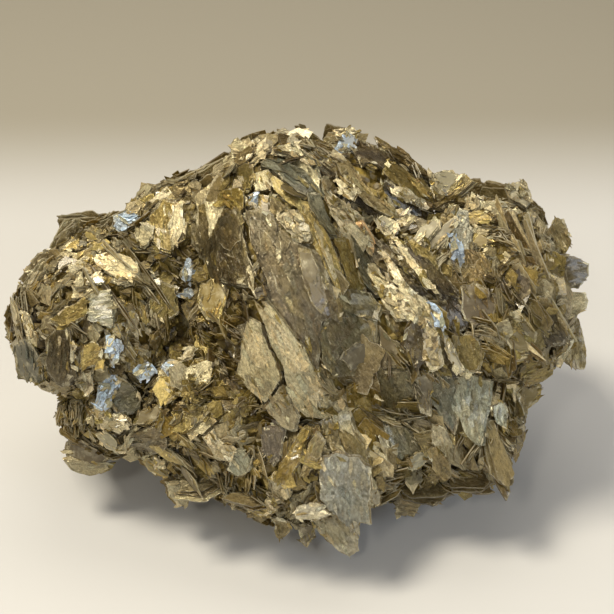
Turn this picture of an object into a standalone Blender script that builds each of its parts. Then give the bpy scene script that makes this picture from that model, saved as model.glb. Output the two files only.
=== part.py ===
"""Mica crystal: one cluster of intergrown muscovite books, rested on a flat cleaved base.

Lengths in the tables are millimetres.  The tables use the specimen's display face: u runs right,
v runs up the face and w runs out of it.  DISPLAY turns that face up by FACE_TILT and sets the
cluster down, so that the finished solid stands on z = 0 with its box centred over the origin.
"""

import math
import random

import bmesh
import bpy
from mathutils import Matrix, Vector, noise

MM = 0.001

# Driving dimensions
FACE_TILT = 35.0        # degrees that the display face looks above level
BASE_DROP = 41.0        # from the middle of the display face down to the flat base
CENTRE_X = 0.25         # moves the cluster so that its box is centred over the origin
CENTRE_Y = 1.3
LUMP_DETAIL = 3         # subdivisions of the rounded masses
LUMP_ROUGHNESS = 1.6    # how far the masses' skin wanders in and out
LUMP_GRAIN = 14.0       # size of that wandering
BOOK_SIDES = 7          # corners of a cleaved book's outline
BOOK_TAPER = 0.88       # how much smaller a book's outer face is than its inner one
RIM_W = 0.0             # depth given to a book that lies outside every rounded mass

# Rounded masses of intergrown flakes: name, middle (u, v, w), radii (u, v, w)
MASSES = (
    ("ridge", (-2, 8, 2), (26, 41, 36)),
    ("crest", (13, 24, -6), (25, 24, 28)),
    ("saddle", (28, 2, 2), (22, 28, 30)),
    ("slope", (-20, 20, -8), (26, 21, 28)),
    ("left", (-46, 4, 0), (23, 21, 28)),
    ("left_shoulder", (-37, 14, -6), (25, 17, 26)),
    ("left_foot", (-42, -19, -2), (16, 10, 20)),
    ("right", (46, 6, 0), (21, 22, 30)),
    ("right_shoulder", (45, 19, -8), (21, 15, 25)),
    ("right_foot", (37, -21, -2), (19, 17, 26)),
    ("lower", (2, -29, 4), (26, 16, 26)),
    ("belly", (-14, -17, 0), (28, 22, 30)),
    ("heel", (0, -15, -22), (42, 23, 23)),
)

# Books, the stacks of cleaved sheets: name, place (u, v), length, width, thickness,
# heading of the length in the face, lean about it, dip of its far end out of the face, rise
BOOKS = (
    ("main_sheet", 1, 17, 46, 22, 6, -62, 18, 0, 0),
    ("upper_left_sheet", -17, 24, 34, 20, 5, -72, 16, 4, 0),
    ("lower_main_sheet", 12.6, -5.3, 26, 18, 5, -58, 18, -4, 0.5),
    ("dark_top_sheet", 1, 36, 26, 14, 4, -60, 14, 24, 1),
    ("pale_sheet_left", -8.3, -8, 25, 13, 3, -65, 4, -6, 1),
    ("pale_sheet_middle", 0.4, -6.6, 28, 10, 3, -62, 10, -6, 2),
    ("olive_sheet", 16.4, -23, 17, 12, 3, -52, 8, -18, 1),
    ("bottom_blade", 12.6, -38.4, 24, 14, 3, -80, 5, -12, 4),
    ("rounded_blade", 10, -45, 13, 9, 3, -85, 0, -12, 24),
    ("gold_flake", 3.4, -43.5, 11, 5, 2, 5, -20, 0, 1),
    ("small_blade_right", 1.5, -46.5, 10, 5, 2, -80, 20, 0, 14),
    ("small_blade_left", -4, -44, 10, 6, 2, -100, -15, 0, 13),
    ("fan_blade", 38, -17, 24, 14, 3, -75, -10, -12, 1),
    ("greenish_blade", 28, -29, 20, 9, 3, -85, 5, -20, 1),
    ("glint_blade", 40.8, 24, 15, 6, 2, 70, 12, -20, 3),
    ("crest_book_top", 14, 31, 34, 11, 6, -58, 56, 14, 0.5),
    ("crest_book_upper", 22, 19, 36, 11, 6, -60, 58, 4, 0),
    ("crest_book_middle", 29, 6, 34, 11, 6, -62, 64, 0, 1),
    ("crest_book_lower", 36, -4, 30, 10, 5, -66, 66, 0, 1),
    ("crest_book_back", 35, 17, 30, 10, 5, -55, 55, 6, 1),
    ("shoulder_book_top", 23, 37, 30, 12, 5, -44, 44, 16, 0),
    ("shoulder_book_right", 33, 31, 26, 12, 5, -40, 46, 14, 0),
    ("rim_right_upper", 61.5, 21, 14, 10, 3, 25, 20, 0, 0),
    ("rim_right_tip", 65, 14, 15, 12, 3, 6, 15, 0, 0),
    ("rim_right_pale", 64, 7.2, 13, 6, 3, 0, 30, 0, 0),
    ("rim_right_lower", 63, -4, 15, 15, 3, -30, 12, 0, 2),
    ("rim_right_shoulder", 55, 32, 18, 11, 4, -35, 40, 0, -4),
    ("rim_right_crown", 48, 35, 18, 9, 4, -8, 48, 0, -5),
    ("rim_right_foot", 46, -28, 16, 10, 4, -66, -35, 0, 3),
    ("foot_right", 36, -37, 24, 9, 4, 4, -35, 0, 6),
    ("left_disc", -58, -4, 17, 15, 4, 90, -22, 0, 1),
    ("left_edge_disc", -63, -4, 15, 10, 3, 88, -40, 0, 4),
    ("left_tip", -61.5, 8.5, 15, 10, 3, 172, 20, 0, 0),
    ("left_brow", -58, 20, 20, 10, 4, 48, 38, 0, 0),
    ("left_crown", -47, 27.5, 22, 9, 4, 8, 48, 0, -4),
    ("ribbed_block", -49, 6.6, 11, 8, 5, 80, 8, 0, 2),
    ("fibrous_blade", -46.7, 17.6, 13, 8, 3, 20, 24, 0, 2),
    ("grey_green_blade", -42, -16, 11, 8, 3, 80, 0, -16, 2),
    ("lower_left_blade", -37, -27, 16, 9, 3, -12, -30, 0, 2),
    ("gold_knob", -48, -25.5, 14, 9, 5, 4, -34, 0, 4),
    ("hanging_tongue", -28, -35, 13, 6, 2.5, -72, 0, -8, 9),
    ("slope_book_upper", -22, 38, 28, 12, 5, 30, 44, 0, -2),
    ("slope_book_lower", -36, 30, 24, 12, 5, 26, 40, 0, -2),
    ("top_blade", 6, 48, 18, 10, 4, -14, 52, 0, -6),
    ("top_knob", -4, 45, 13, 9, 4, 24, 46, 0, -4),
    ("belly_book", -24, -14, 20, 14, 4, 60, -18, -8, 1),
    ("under_book", -16, -38, 24, 10, 4, -8, -44, 0, 6),
)

# Blades that bristle from the masses on every side
BLADE_SEED = 7
BLADE_COUNT = 64
BLADE_LENGTH = (10.0, 20.0)
BLADE_WIDTH = (6.0, 12.0)
BLADE_THICKNESS = (2.0, 4.0)
BLADE_PROUD = 2.2       # how far a blade's middle stands out of the skin
BLADE_FLOOR = 6.0       # blades keep this far above the base

DISPLAY = (
    Matrix.Translation((CENTRE_X * MM, CENTRE_Y * MM, BASE_DROP * MM))
    @ Matrix.Rotation(math.radians(90 - FACE_TILT), 4, "X")
    @ Matrix.Scale(MM, 4)
)


def clear_scene():
    for obj in list(bpy.data.objects):
        bpy.data.objects.remove(obj, do_unlink=True)


def new_collection(name):
    collection = bpy.data.collections.new(name)
    bpy.context.scene.collection.children.link(collection)
    return collection


def add_object(name, bm, collection):
    """Turns a bmesh built in display millimetres into an object at its place in metres."""
    mesh = bpy.data.meshes.new(name)
    bmesh.ops.transform(bm, matrix=DISPLAY, verts=bm.verts)
    bmesh.ops.recalc_face_normals(bm, faces=bm.faces)
    bm.to_mesh(mesh)
    bm.free()
    obj = bpy.data.objects.new(name, mesh)
    collection.objects.link(obj)
    return obj


def skin(u, v):
    """Depth w of the front of the masses at a place on the display face."""
    depths = []
    for _, middle, radii in MASSES:
        inside = 1 - ((u - middle[0]) / radii[0]) ** 2 - ((v - middle[1]) / radii[1]) ** 2
        if inside > 0:
            depths.append(middle[2] + radii[2] * math.sqrt(inside))
    return max(depths, default=RIM_W)


def buried(point, skip, margin):
    """True where a point lies inside a mass other than the one it was taken from."""
    for index, (_, middle, radii) in enumerate(MASSES):
        reach = sum(((p - m) / r) ** 2 for p, m, r in zip(point, middle, radii))
        if index != skip and reach < margin:
            return True
    return False


def add_mass(name, middle, radii, collection):
    bm = bmesh.new()
    bmesh.ops.create_icosphere(bm, subdivisions=LUMP_DETAIL, radius=1)
    for vert in bm.verts:
        outward = vert.co.normalized()
        place = Vector([m + r * c for m, r, c in zip(middle, radii, outward)])
        wander = noise.noise(place / LUMP_GRAIN) * LUMP_ROUGHNESS
        vert.co = place + outward * wander
    return add_object(name, bm, collection)


def add_book(name, place, size, turn, rng, collection):
    """One book: a thin prism with an uneven cleaved outline, its outer face a little smaller."""
    bm = bmesh.new()
    bmesh.ops.create_cone(
        bm, cap_ends=True, segments=BOOK_SIDES, radius1=1, radius2=BOOK_TAPER, depth=1)
    corners = {}
    for vert in bm.verts:
        angle = round(math.degrees(math.atan2(vert.co.y, vert.co.x)))
        if angle not in corners:
            corners[angle] = (rng.uniform(0.86, 1.08), math.radians(rng.uniform(-14, 14)))
        stretch, swing = corners[angle]
        vert.co = Matrix.Rotation(swing, 3, "Z") @ vert.co
        vert.co.x *= stretch * size[0] / 2
        vert.co.y *= stretch * size[1] / 2
        vert.co.z *= size[2]
    bmesh.ops.transform(bm, matrix=Matrix.Translation(place) @ turn, verts=bm.verts)
    return add_object(name, bm, collection)


def face_turn(heading, lean, dip):
    return (
        Matrix.Rotation(math.radians(heading), 4, "Z")
        @ Matrix.Rotation(math.radians(-dip), 4, "Y")
        @ Matrix.Rotation(math.radians(lean), 4, "X")
    )


def blade_turn(outward, rng):
    """A blade's plane holds the outward direction, swung at random about it and tipped a little."""
    length = outward.orthogonal().normalized()
    length.rotate(Matrix.Rotation(rng.uniform(0, math.tau), 3, outward))
    normal = outward.cross(length)
    basis = Matrix((length, outward, normal)).transposed().to_4x4()
    return basis @ Matrix.Rotation(math.radians(rng.uniform(20, 75)), 4, "X")


def add_blades(collection):
    rng = random.Random(BLADE_SEED)
    made = 0
    while made < BLADE_COUNT:
        index = rng.randrange(len(MASSES))
        _, middle, radii = MASSES[index]
        direction = Vector([rng.gauss(0, 1) for _ in range(3)]).normalized()
        point = Vector([m + r * d for m, r, d in zip(middle, radii, direction)])
        if buried(point, index, 1.0) or (DISPLAY @ point).z < BLADE_FLOOR * MM:
            continue
        outward = Vector([d / r for d, r in zip(direction, radii)]).normalized()
        size = [rng.uniform(*span) for span in (BLADE_LENGTH, BLADE_WIDTH, BLADE_THICKNESS)]
        place = point + outward * (BLADE_PROUD - size[1] / 4)
        add_book(f"blade_{made}", place, size, blade_turn(outward, rng), rng, collection)
        made += 1


def add_base_cut(collection):
    """A block whose top face is the flat base, at z = 0."""
    bm = bmesh.new()
    bmesh.ops.create_cube(bm, size=1)
    bmesh.ops.transform(
        bm, verts=bm.verts,
        matrix=Matrix.Translation((0, 0, -0.05)) @ Matrix.Diagonal((0.3, 0.3, 0.1, 1)))
    mesh = bpy.data.meshes.new("base_cut")
    bm.to_mesh(mesh)
    bm.free()
    obj = bpy.data.objects.new("base_cut", mesh)
    collection.objects.link(obj)
    return obj


def mica_material():
    material = bpy.data.materials.new("muscovite")
    material.use_nodes = True
    shader = material.node_tree.nodes["Principled BSDF"]
    shader.inputs["Base Color"].default_value = (0.22, 0.17, 0.09, 1)
    shader.inputs["Roughness"].default_value = 0.35
    shader.inputs["Metallic"].default_value = 0.1
    material.diffuse_color = (0.22, 0.17, 0.09, 1)
    return material


def main():
    clear_scene()
    crystal = new_collection("mica_crystal")
    guides = new_collection("mica_crystal_cutters")
    grown = bpy.data.collections.new("mica_crystal_growth")
    guides.children.link(grown)

    cluster = add_mass(*MASSES[0], crystal)
    cluster.name = "mica_cluster"
    for mass in MASSES[1:]:
        add_mass(*mass, grown)
    rng = random.Random(BLADE_SEED)
    for name, u, v, length, width, thickness, heading, lean, dip, rise in BOOKS:
        place = (u, v, skin(u, v) + rise)
        size = (length, width, thickness)
        add_book(name, place, size, face_turn(heading, lean, dip), rng, grown)
    add_blades(grown)
    base_cut = add_base_cut(guides)
    for obj in list(grown.objects) + [base_cut]:
        obj.hide_render = True
        obj.display_type = "WIRE"

    cluster.data.materials.append(mica_material())
    grow = cluster.modifiers.new("grow_together", "BOOLEAN")
    grow.operation = "UNION"
    grow.operand_type = "COLLECTION"
    grow.collection = grown
    rest = cluster.modifiers.new("cleave_base", "BOOLEAN")
    rest.operation = "DIFFERENCE"
    rest.object = base_cut


main()
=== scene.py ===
import math
import random

import bpy
import numpy as np
from mathutils import Matrix, Vector, noise

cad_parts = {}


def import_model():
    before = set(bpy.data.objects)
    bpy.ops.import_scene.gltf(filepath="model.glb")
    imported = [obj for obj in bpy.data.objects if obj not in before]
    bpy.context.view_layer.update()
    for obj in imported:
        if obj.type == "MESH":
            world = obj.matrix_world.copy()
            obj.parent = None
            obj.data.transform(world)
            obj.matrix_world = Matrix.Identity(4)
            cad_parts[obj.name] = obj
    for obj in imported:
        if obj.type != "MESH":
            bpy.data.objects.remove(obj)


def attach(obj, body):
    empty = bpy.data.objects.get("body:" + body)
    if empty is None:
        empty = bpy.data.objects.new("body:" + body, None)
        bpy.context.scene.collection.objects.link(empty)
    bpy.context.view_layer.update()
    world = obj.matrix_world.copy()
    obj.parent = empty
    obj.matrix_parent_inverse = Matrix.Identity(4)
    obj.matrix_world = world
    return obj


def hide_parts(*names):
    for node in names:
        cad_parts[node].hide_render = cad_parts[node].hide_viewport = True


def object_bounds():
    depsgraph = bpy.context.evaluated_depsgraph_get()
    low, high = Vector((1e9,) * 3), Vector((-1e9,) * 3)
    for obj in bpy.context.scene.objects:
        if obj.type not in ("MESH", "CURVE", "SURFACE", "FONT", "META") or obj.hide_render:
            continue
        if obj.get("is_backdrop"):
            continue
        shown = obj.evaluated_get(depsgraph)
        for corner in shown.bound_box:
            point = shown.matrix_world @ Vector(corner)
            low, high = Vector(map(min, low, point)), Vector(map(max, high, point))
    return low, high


NODE = "mica_cluster"

# The cluster is laid out on its display face, in millimetres: u to the right, v up the face and
# w out of it.  DISPLAY takes that to the frame, in metres.
MM = 0.001
FACE_TILT = 35.0        # degrees that the face looks up from level
BASE_DROP = 41.0        # from the middle of the face down to the floor
CENTRE_X = 0.25
CENTRE_Y = 1.3
DISPLAY = (
    Matrix.Translation((CENTRE_X * MM, CENTRE_Y * MM, BASE_DROP * MM))
    @ Matrix.Rotation(math.radians(90 - FACE_TILT), 4, "X")
    @ Matrix.Scale(MM, 4)
)
DISPLAY_TURN = np.array(DISPLAY.to_3x3())
DISPLAY_PLACE = np.array(DISPLAY.translation)

# The camera stands this far out from the middle of the face
VIEW_DISTANCE = 325.0
VIEW_AIM = (2.9, 6.9, 0.0)
VIEW_HALF_ANGLE = 13.2

FLOOR_CLEAR = 0.25      # sheets keep this far above the floor
PROUD = 1.6             # and stay inside the CAD's box but for this much
ROOT_CLEAR = 1.2        # small stacks are rooted at least this far above the floor
SEED = 11

# Rounded masses of intergrown flakes: name, middle (u, v, w), radii (u, v, w)
MASSES = (
    ("ridge", (-2, 8, 2), (26, 41, 36)),
    ("crest", (13, 24, -6), (25, 24, 28)),
    ("saddle", (28, 2, 2), (22, 28, 30)),
    ("slope", (-20, 20, -8), (26, 21, 28)),
    ("left", (-46, 4, 0), (23, 21, 28)),
    ("left_shoulder", (-37, 14, -6), (25, 17, 26)),
    ("left_foot", (-42, -19, -2), (16, 10, 20)),
    ("right", (46, 6, 0), (21, 22, 30)),
    ("right_shoulder", (45, 19, -8), (21, 15, 25)),
    ("right_foot", (37, -21, -2), (19, 17, 26)),
    ("lower", (2, -29, 4), (26, 16, 26)),
    ("belly", (-14, -17, 0), (28, 22, 30)),
    ("heel", (0, -15, -22), (42, 23, 23)),
)
RIM_W = 0.0             # where the skin is taken to lie outside the masses

# Tints of cleaved mica, with a pale blue and a blue-grey that are painted reflections of the sky,
# and a near black that is painted shade
OLIVE = (0.250, 0.190, 0.052)
GOLD = (0.48, 0.37, 0.125)
HONEY = (0.285, 0.205, 0.045)
BROWN = (0.152, 0.108, 0.040)
UMBER = (0.058, 0.042, 0.020)
PLUM = (0.118, 0.094, 0.060)
SILVER = (0.38, 0.335, 0.205)
PEARL = (0.60, 0.53, 0.33)
CREAM = (0.70, 0.630, 0.430)
SLATE = (0.140, 0.142, 0.098)
STEEL = (0.34, 0.335, 0.235)
TAN = (0.285, 0.225, 0.102)
DUSK = (0.182, 0.149, 0.080)
EARTH = (0.125, 0.098, 0.044)
LICHEN = (0.172, 0.148, 0.076)
# painted sky reflection: pale blue for flakes that show the sky mirrored in the mica
SKY_GLINT = (0.60, 0.74, 0.92)
FROST = (0.63, 0.555, 0.335)
ROSE = (0.55, 0.35, 0.16)
AMBER = (0.33, 0.24, 0.055)
PEWTER = (0.290, 0.286, 0.228)
MOSS = (0.155, 0.140, 0.080)
PEAT = (0.092, 0.072, 0.034)
# painted shade: near black for sheets that lie where the crest is in shade
SHADE_BLACK = (0.026, 0.020, 0.012)
HAZEL = (0.152, 0.125, 0.074)
# painted sky reflection: blue-grey for the sheets under those pale blue flakes
SKY_GLINT_HAZE = (0.42, 0.50, 0.58)

LAMPLIGHT = (1.0, 0.93, 0.80)
GLOW = (0.80, 0.58, 0.14)       # the tint of light that has come through a sheet
# the floor's colour in front, and behind the cluster a darker one that is painted shade
FLOOR_NEAR = (0.52, 0.52, 0.525)
FLOOR_FAR_SHADED = (0.29, 0.27, 0.225)

# What the flakes of a region are made of, darkest first, with the share of each
PALETTES = {
    "fine_gold": (
        (UMBER, 1), (BROWN, 2), (OLIVE, 4), (DUSK, 1), (HONEY, 1), (TAN, 3), (GOLD, 3),
        (SILVER, 4), (PEARL, 8), (CREAM, 5)),
    "deep_olive": ((UMBER, 4), (BROWN, 4), (OLIVE, 5), (HONEY, 5), (GOLD, 2), (PEARL, 1)),
    "brown_sheets": (
        (UMBER, 3), (BROWN, 4), (OLIVE, 6), (HONEY, 2), (DUSK, 1), (TAN, 4), (GOLD, 2),
        (SILVER, 3), (PEARL, 6), (CREAM, 4)),
    "cream_edges": ((BROWN, 2), (OLIVE, 2), (TAN, 3), (SILVER, 2), (PEARL, 4), (CREAM, 6)),
    "rim": ((BROWN, 2), (OLIVE, 3), (TAN, 3), (SILVER, 2), (PEARL, 3), (CREAM, 3)),
    "grey": (
        (SLATE, 2), (BROWN, 1), (DUSK, 2), (OLIVE, 4), (TAN, 3), (GOLD, 2), (SILVER, 3),
        (PEARL, 3), (CREAM, 2)),
}


def clear_selection():
    if bpy.context.mode != "OBJECT":
        bpy.ops.object.mode_set(mode="OBJECT")
    bpy.ops.object.select_all(action="DESELECT")


# ---------------------------------------------------------------- finishes


class Wire:
    """A node socket that adds, subtracts and scales like a number, through Math nodes."""

    def __init__(self, finish, socket):
        self.finish = finish
        self.socket = socket

    def math(self, operation, *values):
        node = self.finish.node("ShaderNodeMath", {"operation": operation}, *values)
        return Wire(self.finish, node.outputs[0])

    def __add__(self, other):
        return self.math("ADD", self, other)

    __radd__ = __add__

    def __sub__(self, other):
        return self.math("SUBTRACT", self, other)

    def __rsub__(self, other):
        return self.math("SUBTRACT", other, self)

    def __mul__(self, other):
        return self.math("MULTIPLY", self, other)

    __rmul__ = __mul__

    def __abs__(self):
        return self.math("ABSOLUTE", self)

    def floor(self):
        return self.math("FLOOR", self)

    def clamp(self):
        node = self.finish.node("ShaderNodeClamp", {}, self)
        return Wire(self.finish, node.outputs[0])


class Finish:
    """A material under construction."""

    def __init__(self, name):
        self.material = bpy.data.materials.new(name)
        self.material.use_nodes = True
        self.tree = self.material.node_tree
        self.tree.nodes.clear()

    def node(self, kind, settings, *values, **named):
        """Adds a node, sets it up, then feeds its sockets in order or by name."""
        node = self.tree.nodes.new(kind)
        for key, value in settings.items():
            setattr(node, key, value)
        for key, value in list(enumerate(values)) + list(named.items()):
            if value is None:
                continue
            socket = node.inputs[key if isinstance(key, int) else key.replace("_", " ")]
            if isinstance(value, Wire):
                self.tree.links.new(value.socket, socket)
            else:
                socket.default_value = value
        return node

    def wire(self, node, output=0):
        return Wire(self, node.outputs[output])

    def coordinates(self, uv_name=None):
        if uv_name:
            return self.wire(self.node("ShaderNodeUVMap", {"uv_map": uv_name}))
        return self.wire(self.node("ShaderNodeTexCoord", {}), "Object")

    def stretch(self, vector, along, across, bend=0.0):
        """Gives a pattern so many repeats along and across, wandering where there is a bend."""
        mapping = self.node("ShaderNodeMapping", {}, vector, Scale=(along, across, 1))
        return self.warp(self.wire(mapping), bend) if bend else self.wire(mapping)

    def grain(self, vector, scale, detail=3.0, roughness=0.55, distortion=0.0):
        node = self.node(
            "ShaderNodeTexNoise", {}, Vector=vector, Scale=scale, Detail=detail,
            Roughness=roughness, Distortion=distortion)
        return self.wire(node, "Fac")

    def cells(self, vector, scale=1.0, feature="F1", output="Distance"):
        node = self.node(
            "ShaderNodeTexVoronoi", {"feature": feature}, Vector=vector, Scale=scale)
        return self.wire(node, output)

    def cell_value(self, vector, scale=1.0):
        """A number from 0 to 1 that is one and the same all over each cell."""
        return self.parts(self.cells(vector, scale, output="Color"))[0]

    def ease(self, value, low, high):
        """0 below low, 1 above high and smooth between."""
        node = self.node(
            "ShaderNodeMapRange", {"interpolation_type": "SMOOTHSTEP"}, value, low, high)
        return self.wire(node)

    def blend(self, share, first, second, mode="MIX"):
        node = self.node("ShaderNodeMix", {"data_type": "RGBA", "blend_type": mode})
        for socket, value in ((0, share), (6, first), (7, second)):
            if isinstance(value, Wire):
                self.tree.links.new(value.socket, node.inputs[socket])
            else:
                node.inputs[socket].default_value = value
        return Wire(self, node.outputs[2])

    def warp(self, vector, amount):
        """Bends a pattern's coordinates so that its lines wander."""
        bends = self.node("ShaderNodeTexNoise", {}, Vector=vector, Scale=0.9, Detail=3.0)
        moved = self.node(
            "ShaderNodeVectorMath", {"operation": "MULTIPLY_ADD"},
            self.wire(bends, "Color"), (amount, amount, amount), vector)
        return self.wire(moved)

    def tipped(self, vector, amount, share, normal=None):
        """Tips each small cell of the face a little its own way, as intergrown flakes lie."""
        normal = normal or self.wire(self.node("ShaderNodeNewGeometry", {}), "Normal")
        cell = self.cells(vector, output="Color")
        tip = self.wire(self.node(
            "ShaderNodeVectorMath", {"operation": "MULTIPLY_ADD"}, cell, (2 * amount,) * 3,
            (-amount,) * 3))
        tip = self.wire(self.node(
            "ShaderNodeVectorMath", {"operation": "SCALE"}, tip, Scale=share))
        turned = self.wire(self.node("ShaderNodeVectorMath", {"operation": "ADD"}, normal, tip))
        return self.wire(self.node(
            "ShaderNodeVectorMath", {"operation": "NORMALIZE"}, turned))

    def attribute(self, name):
        return self.wire(self.node("ShaderNodeAttribute", {"attribute_name": name}), "Color")

    def parts(self, vector):
        node = self.node("ShaderNodeSeparateColor", {}, vector)
        return [Wire(self, output) for output in node.outputs]

    def bump(self, height, strength, distance, normal=None):
        node = self.node(
            "ShaderNodeBump", {}, Strength=strength, Distance=distance, Height=height,
            Normal=normal)
        return self.wire(node, "Normal")

    def surface(self, **sockets):
        return self.wire(self.node("ShaderNodeBsdfPrincipled", {}, **sockets))

    def let_through(self, share, surface, tint, normal):
        """The surface with a share of it letting light through from behind."""
        glow = self.wire(self.node("ShaderNodeBsdfTranslucent", {}, tint, normal))
        return self.wire(self.node("ShaderNodeMixShader", {}, share, surface, glow))

    def output(self, shader):
        end = self.node("ShaderNodeOutputMaterial", {})
        self.tree.links.new(shader.socket, end.inputs["Surface"])
        return self.material


def colour(rgb):
    return (*rgb, 1.0)


def mica_face(name):
    """The face of a cleaved sheet: satin, clouded, scaly, fringed with pale chips in places,
    flecked with painted glints, and letting light through."""
    f = Finish(name)
    tint = f.attribute("tint")
    fringe, crackle, polish = f.parts(f.attribute("wear"))
    # Patterns over the whole cluster, in metres, then those of each sheet, in millimetres
    body = f.coordinates()
    drift = f.grain(body, 60.0, 2.0, 0.5)
    stain = f.grain(body, 120.0, 4.0, 0.60, 0.8)
    torn = f.grain(body, 330.0, 2.0, 0.5)
    sheet = f.coordinates("Sheet")
    cloud = f.grain(f.stretch(sheet, 0.16, 0.27), 1.0, 6.0, 0.68, 1.3)
    silk = f.grain(f.stretch(sheet, 0.55, 1.9), 1.0, 5.0, 0.72, 0.9)
    fine = f.grain(f.stretch(sheet, 2.2, 3.8), 1.0, 3.0, 0.7)
    speck = f.grain(f.stretch(sheet, 1.1, 1.8), 1.0, 2.0, 0.6)
    wisp = f.grain(f.stretch(sheet, 0.22, 0.50), 1.0, 4.0, 0.6, 1.6)
    scale = f.cell_value(f.stretch(sheet, 0.20, 0.36, bend=0.9))
    flake = f.cell_value(f.stretch(sheet, 0.65, 1.05, bend=0.6))
    cracks = f.cells(f.stretch(sheet, 0.15, 0.24, bend=0.5), feature="DISTANCE_TO_EDGE")
    painted_glint_cells = f.cells(f.stretch(sheet, 0.50, 0.62))

    light = (
        0.26 + f.ease(cloud, 0.32, 0.68) * 0.50 + scale * 0.28 + flake * 0.34
        + f.ease(silk, 0.36, 0.66) * 0.28 + f.ease(speck, 0.36, 0.64) * 0.42
        - f.ease(fine, 0.50, 0.30) * 0.34)
    base = f.blend(f.ease(stain, 0.42, 0.74) * 0.32, tint, colour(AMBER))
    base = f.blend(f.ease(drift, 0.50, 0.68) * 0.30, base, colour(MOSS))
    base = f.blend(1.0, base, light, "MULTIPLY")
    pale = f.parts(tint)[1]
    milk = f.ease(cloud + silk * 0.6, 0.86, 1.10) * (pale * 1.3 + 0.2).clamp() * 0.9
    base = f.blend(milk, base, colour(PEARL))
    line = 1 - f.ease(abs(wisp - 0.5), 0.0, 0.014)
    base = f.blend(line * f.ease(fine, 0.40, 0.60) * 0.45, base, colour(PEARL))
    crack = (1 - f.ease(cracks, 0.003, 0.022)) * crackle * f.ease(cloud, 0.40, 0.60)
    base = f.blend(crack * 0.6, base, colour(CREAM))
    # painted glints: tiny cream specks in the base colour stand for sparkle
    painted_glints = f.ease(painted_glint_cells, 0.14, 0.07) * f.ease(fine, 0.42, 0.56)
    base = f.blend(painted_glints * 0.75, base, colour(CREAM))
    ragged = fringe * 0.5 + fine * 0.7 + cloud * 0.5 + f.ease(torn, 0.46, 0.60) * 0.2
    base = f.blend(f.ease(ragged, 1.02, 1.26) * 0.75, base, colour(CREAM))

    height = (
        silk * 0.30 + fine * 0.30 + cloud * 1.1 + scale * 0.45 + flake * 0.30 + speck * 0.30
        + (wisp * 9.0).floor() * 0.12)
    glitter = polish * 0.9 + 0.45
    tipped = f.tipped(f.stretch(sheet, 0.42, 0.65, bend=0.5), 0.13, glitter)
    tipped = f.tipped(f.stretch(sheet, 1.5, 2.3), 0.20, glitter, tipped)
    normal = f.bump(height, 0.6, 0.5 * MM, tipped)
    roughness = (0.36 - polish * 0.22 + (silk - 0.5) * 0.5 + (fine - 0.5) * 0.3).clamp()
    surface = f.surface(
        Base_Color=base, Roughness=roughness, Normal=normal, Metallic=0.5, IOR=1.6,
        Coat_Weight=polish * 0.65, Coat_Roughness=0.12, Coat_IOR=1.7)
    glow = f.blend(0.45, base, colour(GLOW))
    return f.output(f.let_through(0.40, surface, glow, normal))


def mica_edge(name):
    """The broken rim of a sheet or a book: fine pale layers with brown between them."""
    f = Finish(name)
    tint = f.attribute("tint")
    rim = f.coordinates("Sheet")
    body = f.coordinates()
    layers = f.grain(f.stretch(rim, 0.5, 9.0), 1.0, 3.0, 0.7)
    chips = f.grain(body, 620.0, 3.0, 0.65)
    patches = f.grain(body, 170.0, 3.0, 0.6)
    pale = (f.ease(layers, 0.42, 0.62) * 0.5 + f.ease(chips, 0.48, 0.70) * 0.6).clamp()
    pale = pale * (0.08 + f.ease(patches, 0.44, 0.64) * 0.72)
    base = f.blend(pale, f.blend(0.5, tint, colour(UMBER)), colour(CREAM))
    normal = f.bump(layers + chips * 0.8, 0.7, 0.4 * MM)
    surface = f.surface(
        Base_Color=base, Roughness=0.40, Normal=normal, IOR=1.55, Coat_Weight=0.25,
        Coat_Roughness=0.3)
    return f.output(f.let_through(0.25, surface, base, normal))


def ground_finish():
    """The fine intergrown mica deep between the sheets."""
    f = Finish("fine_ground")
    body = f.coordinates()
    patches = f.grain(body, 120.0, 4.0, 0.6)
    fleck = f.cell_value(body, 700.0)
    base = f.blend(f.ease(patches, 0.35, 0.65), colour(UMBER), colour(HONEY))
    base = f.blend(f.ease(fleck, 0.6, 0.9) * 0.6, base, colour(GOLD))
    normal = f.bump(fleck + patches, 0.9, 0.8 * MM)
    return f.output(f.surface(
        Base_Color=base, Roughness=0.38, Normal=normal, IOR=1.6, Coat_Weight=0.4,
        Coat_Roughness=0.2))


def floor_finish():
    """A pale floor with painted shade: its colour darkens behind the cluster, where the light
    falls off.
    """
    f = Finish("pale_floor")
    depth = f.wire(f.node("ShaderNodeSeparateXYZ", {}, f.coordinates()), "Y")
    tone = f.blend(f.ease(depth, 0.12, 0.22), colour(FLOOR_NEAR), colour(FLOOR_FAR_SHADED))
    return f.output(f.surface(Base_Color=tone, Roughness=0.6))


# ---------------------------------------------------------------- sheets


def ray_reach(outline, angle):
    """How far the outline is from the origin in one direction."""
    ahead = Vector((math.cos(angle), math.sin(angle)))
    reaches = []
    for first, second in zip(outline, outline[1:] + outline[:1]):
        edge = second - first
        across = ahead.cross(edge)
        if abs(across) < 1e-9:
            continue
        distance = first.cross(edge) / across
        share = first.cross(ahead) / across
        if distance > 0 and -0.001 <= share <= 1.001:
            reaches.append(distance)
    return min(reaches, default=0.5)


def broken_outline(rng, breaks, wander, least_reach):
    """A few straight breaks round a unit circle, as corner points."""
    count = rng.choice(breaks)
    angles = [(n + rng.uniform(-wander, wander)) * math.tau / count for n in range(count)]
    return [Vector((math.cos(a), math.sin(a))) * rng.uniform(least_reach, 1.0) for a in angles]


def shard_outline(rng):
    return broken_outline(rng, (4, 4, 5), 0.36, 0.6)


def cleaved_outline(rng):
    return broken_outline(rng, (4, 5, 5, 6), 0.33, 0.66)


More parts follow.
